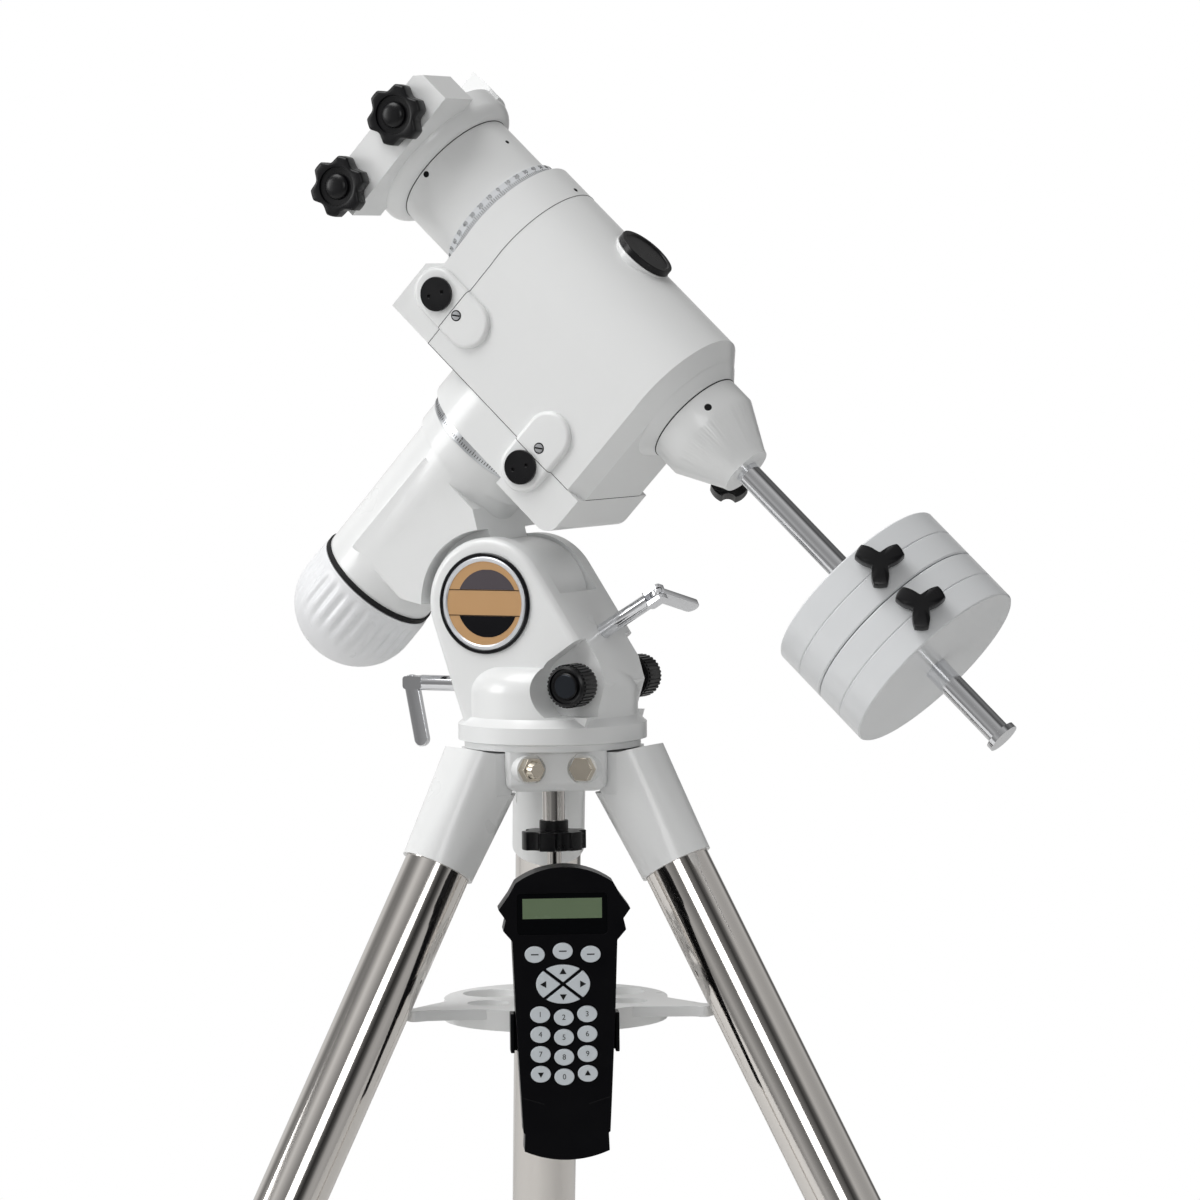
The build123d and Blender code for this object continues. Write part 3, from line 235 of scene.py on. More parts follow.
def dress(node, material, edge_mm=0.6, other=None, where=None):
    """Copies a CAD node, joins its faces, rounds its edges, and gives it its finish."""
    source = frame["nodes"][node]
    mesh = source.data.copy()
    shape = bmesh.new()
    shape.from_mesh(mesh)
    bmesh.ops.remove_doubles(shape, verts=shape.verts, dist=1e-6)
    if edge_mm:
        bmesh.ops.dissolve_limit(shape, angle_limit=radians(0.4), verts=shape.verts, edges=shape.edges)
    for face in shape.faces:
        face.smooth = True
        face.material_index = 1 if where and where(face.calc_center_median()) else 0
    shape.to_mesh(mesh)
    shape.free()
    mesh.materials.clear()
    mesh.materials.append(material)
    if other:
        mesh.materials.append(other)
    for layer in list(mesh.attributes):
        if layer.name == "custom_normal":
            mesh.attributes.remove(layer)
    mesh.set_sharp_from_angle(angle=radians(32))
    piece = place_piece(mesh, node + "_finished", source["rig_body"], slot_of[node], None, node)
    if edge_mm:
        bevel = piece.modifiers.new("edge", "BEVEL")
        bevel.width = edge_mm * MM
        bevel.segments = 2
        bevel.limit_method = "ANGLE"
        bevel.angle_limit = radians(32)
    return piece


dress("tripod_hub", white_enamel, 1.0)
dress("leg_pivot_bolts", nickel, 0.5)
dress("azimuth_peg", nickel, 0.5)

# ---------------------------------------------------------------- legs
# Two-inch steel tube, polished and chromed, pressed into an enamelled socket at the top.
# A cast collar with a three-lobed knob pinches the inner tube, which ends in a black rubber foot.
chrome_tube = plated("chromed steel tube", "#dedad6", 0.09, 60)
TUBE_RADIUS = 25.5
FOOT_START = 829.9
AXIS_OUT = 56


def moulded(name, colour, grain_mm, roughness=0.42, grain=0.25, ior=1.5):
    """Moulded plastic or rubber: fine grain of the mould, its gloss uneven where it is rubbed."""
    material, tree, skin, place = finish(name, colour, roughness, IOR=ior)
    bumps = add_node(tree, "ShaderNodeTexNoise", {"Scale": 1000 / grain_mm, "Detail": 3.0}, {"Vector": place})
    pits = add_node(tree, "ShaderNodeBump", {"Strength": grain, "Distance": 0.02 * MM},
                    {"Height": bumps.outputs["Fac"]})
    tree.links.new(pits.outputs["Normal"], skin.inputs["Normal"])
    wear = add_node(tree, "ShaderNodeTexNoise", {"Scale": 1000 / 18, "Detail": 4.0}, {"Vector": place})
    shine = add_node(tree, "ShaderNodeMapRange", {"To Min": roughness - 0.1, "To Max": roughness + 0.1},
                     {"Value": wear.outputs["Fac"]})
    tree.links.new(shine.outputs["Result"], skin.inputs["Roughness"])
    return material


# Glass-filled nylon, moulded black: the fibres leave a dull half-gloss.
black_plastic = moulded("black moulded nylon", "#08080b", 0.9, 0.3, 0.08, 1.38)
rubber = moulded("black rubber", "#101011", 0.9, 0.62, 0.4, 1.35)
joints = {joint["name"]: joint for joint in frame["joints"]}

for leg in "abc":
    dress("leg_socket_" + leg, white_enamel, 1.6)
    axis = Vector(joints["leg_extend_" + leg]["axis"])
    start = Vector(joints["leg_fold_" + leg]["pos_m"])
    outward = Vector((start.x, start.y, 0)).normalized()
    on_axis = outward * AXIS_OUT * MM + hub_top

    def off_axis(point):
        """Distance from the leg's centre line."""
        away = point - on_axis
        return (away - axis * away.dot(axis)).length

    def on_foot(point):
        """Is a point of the lower tube on its rubber foot?"""
        return (point - on_axis).dot(axis) > FOOT_START * MM

    dress("leg_tube_" + leg, chrome_tube, 0, white_enamel, lambda point: off_axis(point) > TUBE_RADIUS * MM)
    dress("leg_lower_" + leg, chrome_tube, 0, rubber, on_foot)
    dress("leg_clamp_knob_" + leg, black_plastic, 0.5)

# ---------------------------------------------------------------- draw rod, its knob and the tray
# Chromed rod that pulls the mount down on the hub; the black hand knob grips it through a steel collar.
# The cast tray below spreads the legs and holds eyepieces in its holes.
dress("draw_rod", chrome_tube, 0)
dress("draw_knob", black_plastic, 1.0)
dress("tray", white_enamel, 0.9)
dress("tray_knob", black_plastic, 0.8)

# ---------------------------------------------------------------- azimuth base
# Heavy casting with two fork cheeks, enamelled like the rest.
dress("azimuth_base", white_enamel, 1.4)
dress("azimuth_screws", nickel, 0.3)
chrome = plated("bright chromed steel", "#e4e5e8", 0.1, 40)
for node in ("latitude_bolt_front", "latitude_bolt_rear", "latitude_lever_front", "latitude_lever_rear"):
    dress(node, chrome, 0)


def turned(profile, matrix, segments=96):
    """Mesh turned round Z from (radius, height) points in millimetres, closed at its ends, then placed."""
    shape = bmesh.new()
    rings = []
    for radius, height in profile:
        if radius < 1e-6:
            rings.append([shape.verts.new((0, 0, height * MM))])
            continue
        rings.append([shape.verts.new((radius * cos(2 * pi * i / segments) * MM,
                                       radius * sin(2 * pi * i / segments) * MM, height * MM))
                      for i in range(segments)])
    for low, high in zip(rings, rings[1:]):
        for i in range(segments):
            j = (i + 1) % segments
            corners = [low[i % len(low)], low[j % len(low)], high[j % len(high)], high[i % len(high)]]
            unique = list(dict.fromkeys(corners))
            if len(unique) > 2:
                shape.faces.new(unique)
    for face in shape.faces:
        face.smooth = True
    bmesh.ops.recalc_face_normals(shape, faces=shape.faces)
    mesh = bpy.data.meshes.new("turned")
    shape.to_mesh(mesh)
    shape.free()
    mesh.set_sharp_from_angle(angle=radians(35))
    mesh.transform(matrix)
    if matrix.determinant() < 0:
        mesh.flip_normals()
    return mesh


def aligned(place, z_axis, x_axis):
    """Matrix that puts a mesh's Z along one direction and its X near another."""
    z_axis = Vector(z_axis).normalized()
    x_axis = (Vector(x_axis) - z_axis * Vector(x_axis).dot(z_axis)).normalized()
    turn = Matrix((x_axis, z_axis.cross(x_axis), z_axis)).transposed()
    return Matrix.Translation(place) @ turn.to_4x4()


def repeats(unit, count, step, start, matrix, material):
    """Copies a unit round Z with Geometry Nodes, count times, step degrees apart, as one plain mesh."""
    tree = bpy.data.node_groups.new("ring of copies", "GeometryNodeTree")
    for name, kind in (("Unit", "NodeSocketObject"), ("Count", "NodeSocketInt"), ("Step", "NodeSocketFloat"),
                       ("Start", "NodeSocketFloat"), ("Finish", "NodeSocketMaterial")):
        tree.interface.new_socket(name, in_out="INPUT", socket_type=kind)
    tree.interface.new_socket("Mesh", in_out="OUTPUT", socket_type="NodeSocketGeometry")
    given = add_node(tree, "NodeGroupInput").outputs
    points = add_node(tree, "GeometryNodeMeshLine", {"Offset": (0, 0, 0)}, {"Count": given["Count"]})
    index = add_node(tree, "GeometryNodeInputIndex")
    angle = add_node(tree, "ShaderNodeMath", {"operation": "MULTIPLY_ADD"},
                     {0: index.outputs[0], 1: given["Step"], 2: given["Start"]})
    about = add_node(tree, "ShaderNodeCombineXYZ", None, {"Z": angle.outputs[0]})
    piece = add_node(tree, "GeometryNodeObjectInfo", {"transform_space": "ORIGINAL"},
                     {"Object": given["Unit"]})
    copies = add_node(tree, "GeometryNodeInstanceOnPoints", None,
                      {"Points": points.outputs[0], "Instance": piece.outputs["Geometry"],
                       "Rotation": about.outputs[0]})
    real = add_node(tree, "GeometryNodeRealizeInstances", None, {0: copies.outputs[0]})
    coated = add_node(tree, "GeometryNodeSetMaterial", None, {"Geometry": real.outputs[0],
                                                              "Material": given["Finish"]})
    add_node(tree, "NodeGroupOutput", None, {0: coated.outputs[0]})
    source = bpy.data.objects.new("unit", unit)
    carrier = bpy.data.objects.new("carrier", bpy.data.meshes.new("carrier"))
    bpy.context.scene.collection.objects.link(source)
    bpy.context.scene.collection.objects.link(carrier)
    modifier = carrier.modifiers.new("copies", "NODES")
    modifier.node_group = tree
    values = {"Unit": source, "Count": count, "Step": radians(step), "Start": radians(start),
              "Finish": material}
    for socket in tree.interface.items_tree:
        if socket.in_out == "INPUT":
            modifier[socket.identifier] = values[socket.name]
    bpy.context.view_layer.update()
    ready = carrier.evaluated_get(bpy.context.evaluated_depsgraph_get())
    mesh = bpy.data.meshes.new_from_object(ready)
    carrier.modifiers.remove(modifier)
    bpy.data.objects.remove(carrier)
    bpy.data.objects.remove(source)
    mesh.transform(matrix)
    return mesh


def block(size, place):
    """Box mesh of a size in millimetres, centred at a place in millimetres."""
    shape = bmesh.new()
    bmesh.ops.create_cube(shape, size=1)
    for vert in shape.verts:
        vert.co = Vector([(vert.co[i] * size[i] + place[i]) * MM for i in range(3)])
    mesh = bpy.data.meshes.new("block")
    shape.to_mesh(mesh)
    shape.free()
    return mesh


# ---------------------------------------------------------------- altitude badges
# Domed resin discs let into both cheeks: bright ring, tan field with a dark sun behind a plain tan bar.
pivot = Vector(joints["altitude"]["pos_m"])
tan_print = moulded("tan printed foil under resin", "#c39a6d", 1.2, 0.22, 0.02)
dark_print = moulded("black gloss resin", "#0c0c10", 2.0, 0.15, 0.02, 1.35)
grey_print = moulded("grey-brown printed foil under resin", "#514b50", 2.0, 0.18, 0.02)
badge_metal = plated("satin chromed ring", "#e8eaee", 0.4, 20)
CHEEK_FACE = 48.0
SUN_RADIUS, SUN_SHIFT = 25.6, 2.6
LINE_HALF = 31.4


def disc_cut(radius, low, high, shift=0.0):
    """Flat lens-shaped face: the part of a disc between two heights, in millimetres."""
    edge, steps = [], 40
    top, bottom = asin(min(1, high / radius)), asin(max(-1, low / radius))
    for i in range(steps + 1):
        t = bottom + (top - bottom) * i / steps
        edge.append((radius * cos(t) + shift, radius * sin(t)))
    edge += [(2 * shift - x, y) for x, y in reversed(edge)]
    shape = bmesh.new()
    shape.faces.new([shape.verts.new((x * MM, y * MM, 0)) for x, y in edge])
    bmesh.ops.remove_doubles(shape, verts=shape.verts, dist=1e-7)
    cap = bmesh.ops.extrude_face_region(shape, geom=shape.faces[:])
    for part in cap["geom"]:
        if isinstance(part, bmesh.types.BMVert):
            part.co.z += 0.12 * MM
    bmesh.ops.recalc_face_normals(shape, faces=shape.faces)
    mesh = bpy.data.meshes.new("cut disc")
    shape.to_mesh(mesh)
    shape.free()
    return mesh


for side, facing in (("near", Vector((0, -1, 0))), ("far", Vector((0, 1, 0)))):
    seat = pivot + facing * CHEEK_FACE * MM
    level = Vector((1, 0, 0)) if side == "near" else Vector((-1, 0, 0))
    at = aligned(seat, facing, level)
    ring = turned([(34.4, 0.1), (38.2, 0.1), (38.2, 1.6), (37.4, 2.3), (36.2, 2.4), (35.6, 2.1), (34.4, 1.3),
                   (34.4, 0.1)], at)
    place_piece(ring, "badge_rim_" + side, "azimuth_base", "badge", dark_print, "altitude_badges")
    bright = turned([(31.6, 1.0), (34.9, 1.0), (35.2, 1.9), (34.4, 2.5), (32.6, 2.5), (31.6, 1.7),
                     (31.6, 1.0)], at)
    place_piece(bright, "badge_ring_" + side, "azimuth_base", "badge", badge_metal, "altitude_badges")
    field = turned([(0, 0.1), (31.8, 0.1), (31.8, 1.5), (20, 1.62), (0, 1.7)], at)
    place_piece(field, "badge_field_" + side, "azimuth_base", "badge", tan_print, "altitude_badges")
    for name, low, high, print_ink in (("sky", 10.4, 25.4, grey_print), ("ground", -25.4, -9.6, dark_print)):
        lens = disc_cut(SUN_RADIUS, low, high, SUN_SHIFT)
        lens.transform(at @ Matrix.Translation((0, 0, 1.66 * MM)))
        place_piece(lens, f"badge_{name}_{side}", "azimuth_base", "badge", print_ink, "altitude_badges")
    for name, height in (("upper", 10.0), ("lower", -9.2)):
        line = block((2 * sqrt(LINE_HALF ** 2 - height ** 2), 0.5, 0.3), (0, height, 1.68))
        line.transform(at)
        place_piece(line, f"badge_line_{name}_{side}", "azimuth_base", "badge", dark_print, "altitude_badges")

# ---------------------------------------------------------------- azimuth knobs
# Black moulded thumbwheels with a coarse knurl and a grey screw end showing in the middle.
grey_steel = plated("blackened steel", "#34373c", 0.35, 8)
KNOB_SEAT, RIBS = 43, 32
for side, facing in (("near", Vector((0, -1, 0))), ("far", Vector((0, 1, 0)))):
    node = "azimuth_knob_" + side
    centre = Vector(joints[node + "_turn"]["pos_m"])
    at = aligned(Vector((centre.x, 0, centre.z)) + facing * KNOB_SEAT * MM, facing, (1, 0, 0))
    wheel = turned([(4.2, 0.1), (15.2, 0.1), (15.6, 1.2), (15.6, 20.2), (14.8, 22), (13.2, 22.8), (12.6, 20.6),
                    (10.2, 20.2), (9.9, 22.0), (9.2, 22.6), (0, 22.7)], at)
    place_piece(wheel, node + "_wheel", node, "black_plastic", black_plastic, node)
    rib = block((1.3, 1.6, 18.4), (15.75, 0, 10.8))
    ribs = repeats(rib, RIBS, 360 / RIBS, 0, at, black_plastic)
    place_piece(ribs, node + "_knurl", node, "black_plastic", None, node)
    hub = turned([(0, 22.6), (8.8, 22.6), (8.4, 22.95), (0, 23.0)], at)
    place_piece(hub, node + "_screw_end", node, "black_plastic", grey_steel, node)

# ---------------------------------------------------------------- polar unit
# Enamelled tube with the fork lobe under it; a silver hour circle turns on its front end.
ra_axis = Vector(joints["right_ascension"]["axis"])
cross_point = Vector(joints["right_ascension"]["pos_m"])
dec_axis = Vector(joints["declination"]["axis"])
near = Vector((0, -1, 0))
dress("ra_housing", white_enamel, 1.2)
dress("polar_cap_seal", rubber, 0.3)
dress("ra_clutch_lever", black_plastic, 0.8)
dress("ra_axle", nickel, 0.4)
brass = plated("machined brass", "#c9a35a", 0.25, 10)
dress("ra_worm_wheel", brass, 0.4)
dress("ra_worm", nickel, 0.3)


def head(u, v, w=0.0):
    """Point in metres, from millimetres along the polar axis, up the declination axis and nearwards."""
    return cross_point + (ra_axis * u + dec_axis * v + near * w) * MM


silver_scale = plated("satin silver scale", "#d2d4d7", 0.28, 15)
ink = moulded("black engraving paint", "#0c0c0e", 0.8, 0.6, 0.0, 1.3)


def figure(text, height_mm):
    """Flat numeral as a thin plain mesh, centred, in millimetres turned to metres."""
    letters = bpy.data.curves.new("figure", "FONT")
    letters.body = text
    letters.align_x, letters.align_y = "CENTER", "CENTER"
    letters.size = height_mm * 1.35 * MM
    letters.extrude = 0.05 * MM
    letters.resolution_u = 3
    carrier = bpy.data.objects.new("figure", letters)
    bpy.context.scene.collection.objects.link(carrier)
    bpy.context.view_layer.update()
    mesh = bpy.data.meshes.new_from_object(carrier.evaluated_get(bpy.context.evaluated_depsgraph_get()))
    bpy.data.objects.remove(carrier)
    return mesh


def scale_marks(prefix, body, slot, at, radius, low, width, figures, step, minor):
    """Engraved ticks and numerals round a ring whose axis is the matrix's Z."""
    tick = block((0.16, 0.5, width * 0.3), (radius + 0.03, 0, low + width * 0.38))
    place_piece(repeats(tick, round(360 / minor), minor, 0, at, ink), prefix + "_ticks", body, slot, None)
    long_tick = block((0.16, 0.55, width * 0.38), (radius + 0.04, 0, low + width * 0.42))
    place_piece(repeats(long_tick, round(360 / step), step, 0, at, ink), prefix + "_long_ticks", body, slot,
                None)
    shape = bmesh.new()
    for i, text in enumerate(figures):
        numeral = figure(text, width * 0.32)
        turn = Matrix.Rotation(radians(i * step), 4, "Z")
        stand = Matrix(((0, 0, 1, (radius + 0.03) * MM), (1, 0, 0, 0),
                        (0, 1, 0, (low + width * 0.8) * MM), (0, 0, 0, 1)))
        numeral.transform(turn @ stand)
        shape.from_mesh(numeral)
        bpy.data.meshes.remove(numeral)
    mesh = bpy.data.meshes.new(prefix)
    shape.to_mesh(mesh)
    shape.free()
    mesh.transform(at)
    place_piece(mesh, prefix + "_figures", body, slot, ink)


dress("ra_setting_circle", silver_scale, 0.4)
hours = aligned(head(-133, 0), ra_axis, dec_axis)
scale_marks("hour_circle", "ra_setting_circle", "silver_scale", hours, 52.8, 0.4, 8.0,
            [str(h) for h in range(24)], 15, 2.5)

# ---------------------------------------------------------------- polar cap
# Screw-on cap of white ABS with about thirty moulded flutes for the fingers and a smooth domed end.
white_abs = moulded("white moulded ABS", "#eaebed", 1.4, 0.3)
FLUTES, AROUND = 30, 300
CAP_RIM, DOME_START, CAP_TIP = 279.05, 305, 352
CAP_RADIUS, WALL_RADIUS, BORE_RADIUS, BORE_END = 49.5, 45, 44.5, 308
profile = [(48.4, CAP_RIM), (49.0, 281), (49.4, 284)]
profile += [(CAP_RADIUS, along) for along in (288, 292, 296, 300, DOME_START)]
profile += [(CAP_RADIUS * cos(radians(t)), DOME_START + 47 * sin(radians(t))) for t in range(5, 90, 5)]
shape = bmesh.new()


def cap_ring(radius, along, flute_mm=0.0):
    """One ring of the cap's skin, pulled in at each flute."""
    ring = []
    for i in range(AROUND):
        t = 2 * pi * i / AROUND
        r = radius - flute_mm * (0.5 + 0.5 * cos(FLUTES * t)) ** 1.5
        ring.append(shape.verts.new((r * cos(t) * MM, r * sin(t) * MM, along * MM)))
    return ring


rings = []
for radius, along in profile:
    reach = max(0.0, min(1.0, (along - 283.5) / 5)) * max(0.0, min(1.0, (326 - along) / 16))
    rings.append(cap_ring(radius, along, 1.5 * reach))
inner, deep = cap_ring(WALL_RADIUS, CAP_RIM), cap_ring(BORE_RADIUS, BORE_END)
for low, high in zip([deep, inner] + rings, [inner] + rings):
    for i in range(AROUND):
        shape.faces.new((low[i], low[(i + 1) % AROUND], high[(i + 1) % AROUND], high[i]))
tip = shape.verts.new((0, 0, CAP_TIP * MM))
for i in range(AROUND):
    shape.faces.new((rings[-1][i], rings[-1][(i + 1) % AROUND], tip))
shape.faces.new(deep)
bmesh.ops.recalc_face_normals(shape, faces=shape.faces)
for face in shape.faces:
    face.smooth = True
cap_mesh = bpy.data.meshes.new("polar cap")
shape.to_mesh(cap_mesh)
shape.free()
cap_mesh.set_sharp_from_angle(angle=radians(50))
cap_mesh.transform(aligned(cross_point, -ra_axis, dec_axis))
place_piece(cap_mesh, "polar_cap_fluted", "polar_cap", "white_plastic", white_abs, "polar_cap")

# ---------------------------------------------------------------- declination unit
# Three enamelled castings bolted together: housing, top cover and polar drive cover, with hairline seams.
for node in ("dec_housing", "dec_top_cover", "ra_cover"):
    dress(node, white_enamel, 1.0)
dress("worm_caps", black_plastic, 0.8)
dress("front_port_cap", black_plastic, 0.9)
dress("dec_worm_wheel", brass, 0.4)
dress("dec_worm", nickel, 0.3)
dress("dec_clutch_lever", black_plastic, 0.8)


def seam(name, node, place, normal, body, keep, radius_mm=0.24):
    """Hairline joint: a thin dark bead where a plane cuts a node's outside."""
    shape = bmesh.new()
    shape.from_mesh(frame["nodes"][node].data)
    bmesh.ops.remove_doubles(shape, verts=shape.verts, dist=1e-6)
    bmesh.ops.bisect_plane(shape, geom=shape.verts[:] + shape.edges[:] + shape.faces[:], plane_co=place,
                           plane_no=normal, clear_inner=True, clear_outer=True)
    inside = [e for e in shape.edges if not keep((e.verts[0].co + e.verts[1].co) / 2)]
    bmesh.ops.delete(shape, geom=inside, context="EDGES")
    bmesh.ops.remove_doubles(shape, verts=shape.verts, dist=1e-5)
    outline = bpy.data.meshes.new(name)
    shape.to_mesh(outline)
    shape.free()
    tree = bpy.data.node_groups.new("bead along edges", "GeometryNodeTree")
    for socket, kind in (("Outline", "NodeSocketGeometry"), ("Radius", "NodeSocketFloat"),
                         ("Finish", "NodeSocketMaterial")):
        tree.interface.new_socket(socket, in_out="INPUT", socket_type=kind)
    tree.interface.new_socket("Mesh", in_out="OUTPUT", socket_type="NodeSocketGeometry")
    given = add_node(tree, "NodeGroupInput").outputs
    path = add_node(tree, "GeometryNodeMeshToCurve", None, {"Mesh": given["Outline"]})
    section = add_node(tree, "GeometryNodeCurvePrimitiveCircle", {"Resolution": 8}, {"Radius": given["Radius"]})
    bead = add_node(tree, "GeometryNodeCurveToMesh", None,
                    {"Curve": path.outputs[0], "Profile Curve": section.outputs[0]})
    real = add_node(tree, "GeometryNodeRealizeInstances", None, {0: bead.outputs[0]})
    coated = add_node(tree, "GeometryNodeSetMaterial", None,
                      {"Geometry": real.outputs[0], "Material": given["Finish"]})
    add_node(tree, "NodeGroupOutput", None, {0: coated.outputs[0]})
    carrier = bpy.data.objects.new("carrier", outline)
    bpy.context.scene.collection.objects.link(carrier)
    modifier = carrier.modifiers.new("bead", "NODES")
    modifier.node_group = tree
    for socket in tree.interface.items_tree:
        if socket.in_out == "INPUT" and socket.name in ("Radius", "Finish"):
            modifier[socket.identifier] = radius_mm * MM if socket.name == "Radius" else ink
    bpy.context.view_layer.update()
    mesh = bpy.data.meshes.new_from_object(carrier.evaluated_get(bpy.context.evaluated_depsgraph_get()))
    carrier.modifiers.remove(modifier)
    bpy.data.objects.remove(carrier)
    place_piece(mesh, name, body, slot_of[node], None)


def local(point):
    """A point's distances along the polar axis, up the declination axis and nearwards, in millimetres."""
    away = (point - cross_point) / MM
    return away.dot(ra_axis), away.dot(dec_axis), away.dot(near)


def outside_plan(point):
    """Is a point on the outer wall of the declination housing or its cover?"""
    u, v, w = local(point)
    return u < -89 or abs(w) > 53.5 or sqrt(u * u + w * w) > 55.6


def outside_back(point):
    """Is a point on the outer edge of the housing's back?"""
    u, v, w = local(point)
    return abs(w) > 53.5 or v < -101


def outer_ring(radius):
    """Makes a test for points beyond a radius from the declination axis."""
    def beyond(point):
        u, v, w = local(point)
        return sqrt(u * u + w * w) > radius
    return beyond


seam("cover_seam", "dec_top_cover", head(0, 68.1), dec_axis, "declination_unit", outside_plan)
seam("back_seam", "dec_housing", head(-91.9, 0), ra_axis, "declination_unit", outside_back)
seam("cone_seam", "shaft_cone", head(0, -113.1), dec_axis, "declination_axis", outer_ring(35), 0.4)
seam("saddle_seam", "dec_head", head(0, 161.8), dec_axis, "declination_axis", outer_ring(45), 0.3)
seam("neck_seam", "dec_head", head(0, 109.7), dec_axis, "declination_axis", outer_ring(45), 0.4)


def slot_screw(place, facing, radius, name, body, slot, metal):
    """Cheese-head screw let into the casting, with its slot; the gap round its head and the slot are painted shade,
    a dark ink ring and a dark ink bar.
    """
    at = aligned(place, facing, dec_axis)
    # Painted shade: a dark ink ring stands for the shadowed gap round the head.
    gap_shade_ring = turned([(radius * 0.72, -0.02), (radius, -0.02), (radius, 0.12), (radius * 0.9, 0.2),
                  (radius * 0.72, 0.05), (radius * 0.72, -0.02)], at, 40)
    place_piece(gap_shade_ring, name + "_rim", body, slot, ink)
    disc = turned([(0, -0.02), (radius * 0.8, -0.02), (radius * 0.78, 0.28), (0, 0.34)], at, 40)
    place_piece(disc, name + "_head", body, slot, metal)
    # Painted shade: a dark ink bar laid on the head stands for the shadowed slot.
    slot_shade_bar = block((radius * 1.5, radius * 0.28, 0.1), (0, 0, 0.34))
    slot_shade_bar.transform(at @ Matrix.Rotation(radians(35), 4, "Z"))
    place_piece(slot_shade_bar, name + "_slot", body, slot, ink)


for name, u, v in (("worm_screw_dec", -58.7, 62.8), ("worm_screw_ra", -83.7, -55.2)):
    slot_screw(head(u, v, 61.52), near, 4.2, name, "declination_unit", "white_casting", silver_scale)


def set_screw(place, facing, radius, name, body, slot):
    """Black socket screw, its hexagon as a darker dimple in a thin ring."""
    at = aligned(place, facing, ra_axis if abs(Vector(facing).dot(ra_axis)) < 0.9 else dec_axis)
    body_mesh = turned([(0, 0.02), (radius * 0.5, 0.02), (radius * 0.55, 0.18), (radius * 0.9, 0.22),
                        (radius, 0.05), (radius, -0.4), (0, -0.4)], at, 32)
    place_piece(body_mesh, name, body, slot, ink)


def round_dec(angle, v, radius):
    """Point and outward direction at an angle from north towards the near side, round the declination axis."""
    out = ra_axis * cos(radians(angle)) + near * sin(radians(angle))
    return head(0, v) + out * radius * MM, out


for name, angle, v, radius, size, body in (("neck_screw", 92.6, 158, 49.5, 2.4, "declination_axis"),
                                           ("cone_screw", 52, -126, 39.0, 2.8, "declination_axis"),
                                           ("cover_screw", 4, 74, 59.0, 1.8, "declination_unit"),
                                           ("neck_stud", 12, 139, 49.5, 1.6, "declination_axis")):
    spot, out = round_dec(angle, v, radius)
    set_screw(spot, out, size, name, body, "white_casting")

# Pointer on the top cover's edge that the declination circle is read against.
POINTER_ANGLE, COVER_TOP = 57, 98.0
tip_spot, tip_out = round_dec(POINTER_ANGLE, COVER_TOP, 56.5)
pointer = block((2.4, 1.0, 1.4), (0, 0, 0.5))
pointer.transform(aligned(tip_spot, dec_axis, tip_out))
place_piece(pointer, "dec_pointer", "declination_unit", "white_casting", ink)

# ---------------------------------------------------------------- declination axis
# White scale ring, enamelled neck and dovetail saddle with two black hand knobs.
white_scale = moulded("silver white scale", "#dcdee1", 0.9, 0.3)
dress("dec_setting_circle", white_scale, 0.4)
degrees_round = [str(min(10 * i % 180, 180 - 10 * i % 180)) for i in range(36)]
dial = aligned(head(0, COVER_TOP + 0.3), dec_axis, round_dec(POINTER_ANGLE, 0, 1)[1])
scale_marks("dec_circle", "dec_setting_circle", "white_scale", dial, 52.5, 0.2, 10.5, degrees_round, 10, 2)
dress("dec_head", white_enamel, 0.8)
dress("saddle", white_enamel, 1.6)
dress("shaft_cone", white_enamel, 1.2)


def lobed(lobes, tip, peak, hollow, sharp, profile, matrix, start=0.0, around=240):
    """Moulded hand knob: each profile point is (radius as a share of the outline, share of roundness, height)."""
    shape = bmesh.new()
    rings = []
    for share, roundness, height in profile:
        ring = []
        for i in range(around):
            t = 2 * pi * i / around
            dip = (0.5 - 0.5 * cos(lobes * (t - radians(start)))) ** sharp
            outline = min(tip, peak - (peak - hollow) * dip)
            r = share * (outline * (1 - roundness) + tip * roundness)
            ring.append(shape.verts.new((r * cos(t) * MM, r * sin(t) * MM, height * MM)))
        rings.append(ring)
    for low, high in zip(rings, rings[1:]):
        for i in range(around):
            shape.faces.new((low[i], low[(i + 1) % around], high[(i + 1) % around], high[i]))
    shape.faces.new(rings[0])
    shape.faces.new(rings[-1])
    bmesh.ops.recalc_face_normals(shape, faces=shape.faces)
    for face in shape.faces:
        face.smooth = True
    mesh = bpy.data.meshes.new("knob")
    shape.to_mesh(mesh)
    shape.free()
    mesh.set_sharp_from_angle(angle=radians(40))
    mesh.transform(matrix)
    return mesh


# Outside edge, flat face, then a round sunken ring with a domed button in the middle.
SUNK = [(0.86, 0, 0.05), (0.97, 0, 0.6), (1.0, 0, 2.0), (1.0, 0, 10.4), (0.985, 0, 11.6), (0.94, 0, 12.3),
        (0.88, 0.1, 12.5), (0.70, 1, 12.5), (0.645, 1, 12.3), (0.625, 1, 10.6), (0.44, 1, 10.4), (0.43, 1, 11.6),
        (0.40, 1, 13.0), (0.33, 1, 14.2), (0.22, 1, 14.8), (0.1, 1, 15.0), (0.01, 1, 15.05)]
KNOB_BACK = 78
for name in ("upper", "lower"):
    node = "saddle_knob_" + name
    centre = Vector(joints[node + "_turn"]["pos_m"])
    at = aligned(Vector((centre.x, 0, centre.z)) + near * KNOB_BACK * MM, near, ra_axis)
    wheel = lobed(6, 23, 25.0, 18.6, 0.8, SUNK, at, 30)
    place_piece(wheel, node + "_wheel", node, "black_plastic", black_plastic, node)
    stud = turned([(0, -39.9), (4.9, -39.9), (4.9, 0.1), (0, 0.1)], at, 48)
    place_piece(stud, node + "_stud", node, "black_plastic", nickel, node)

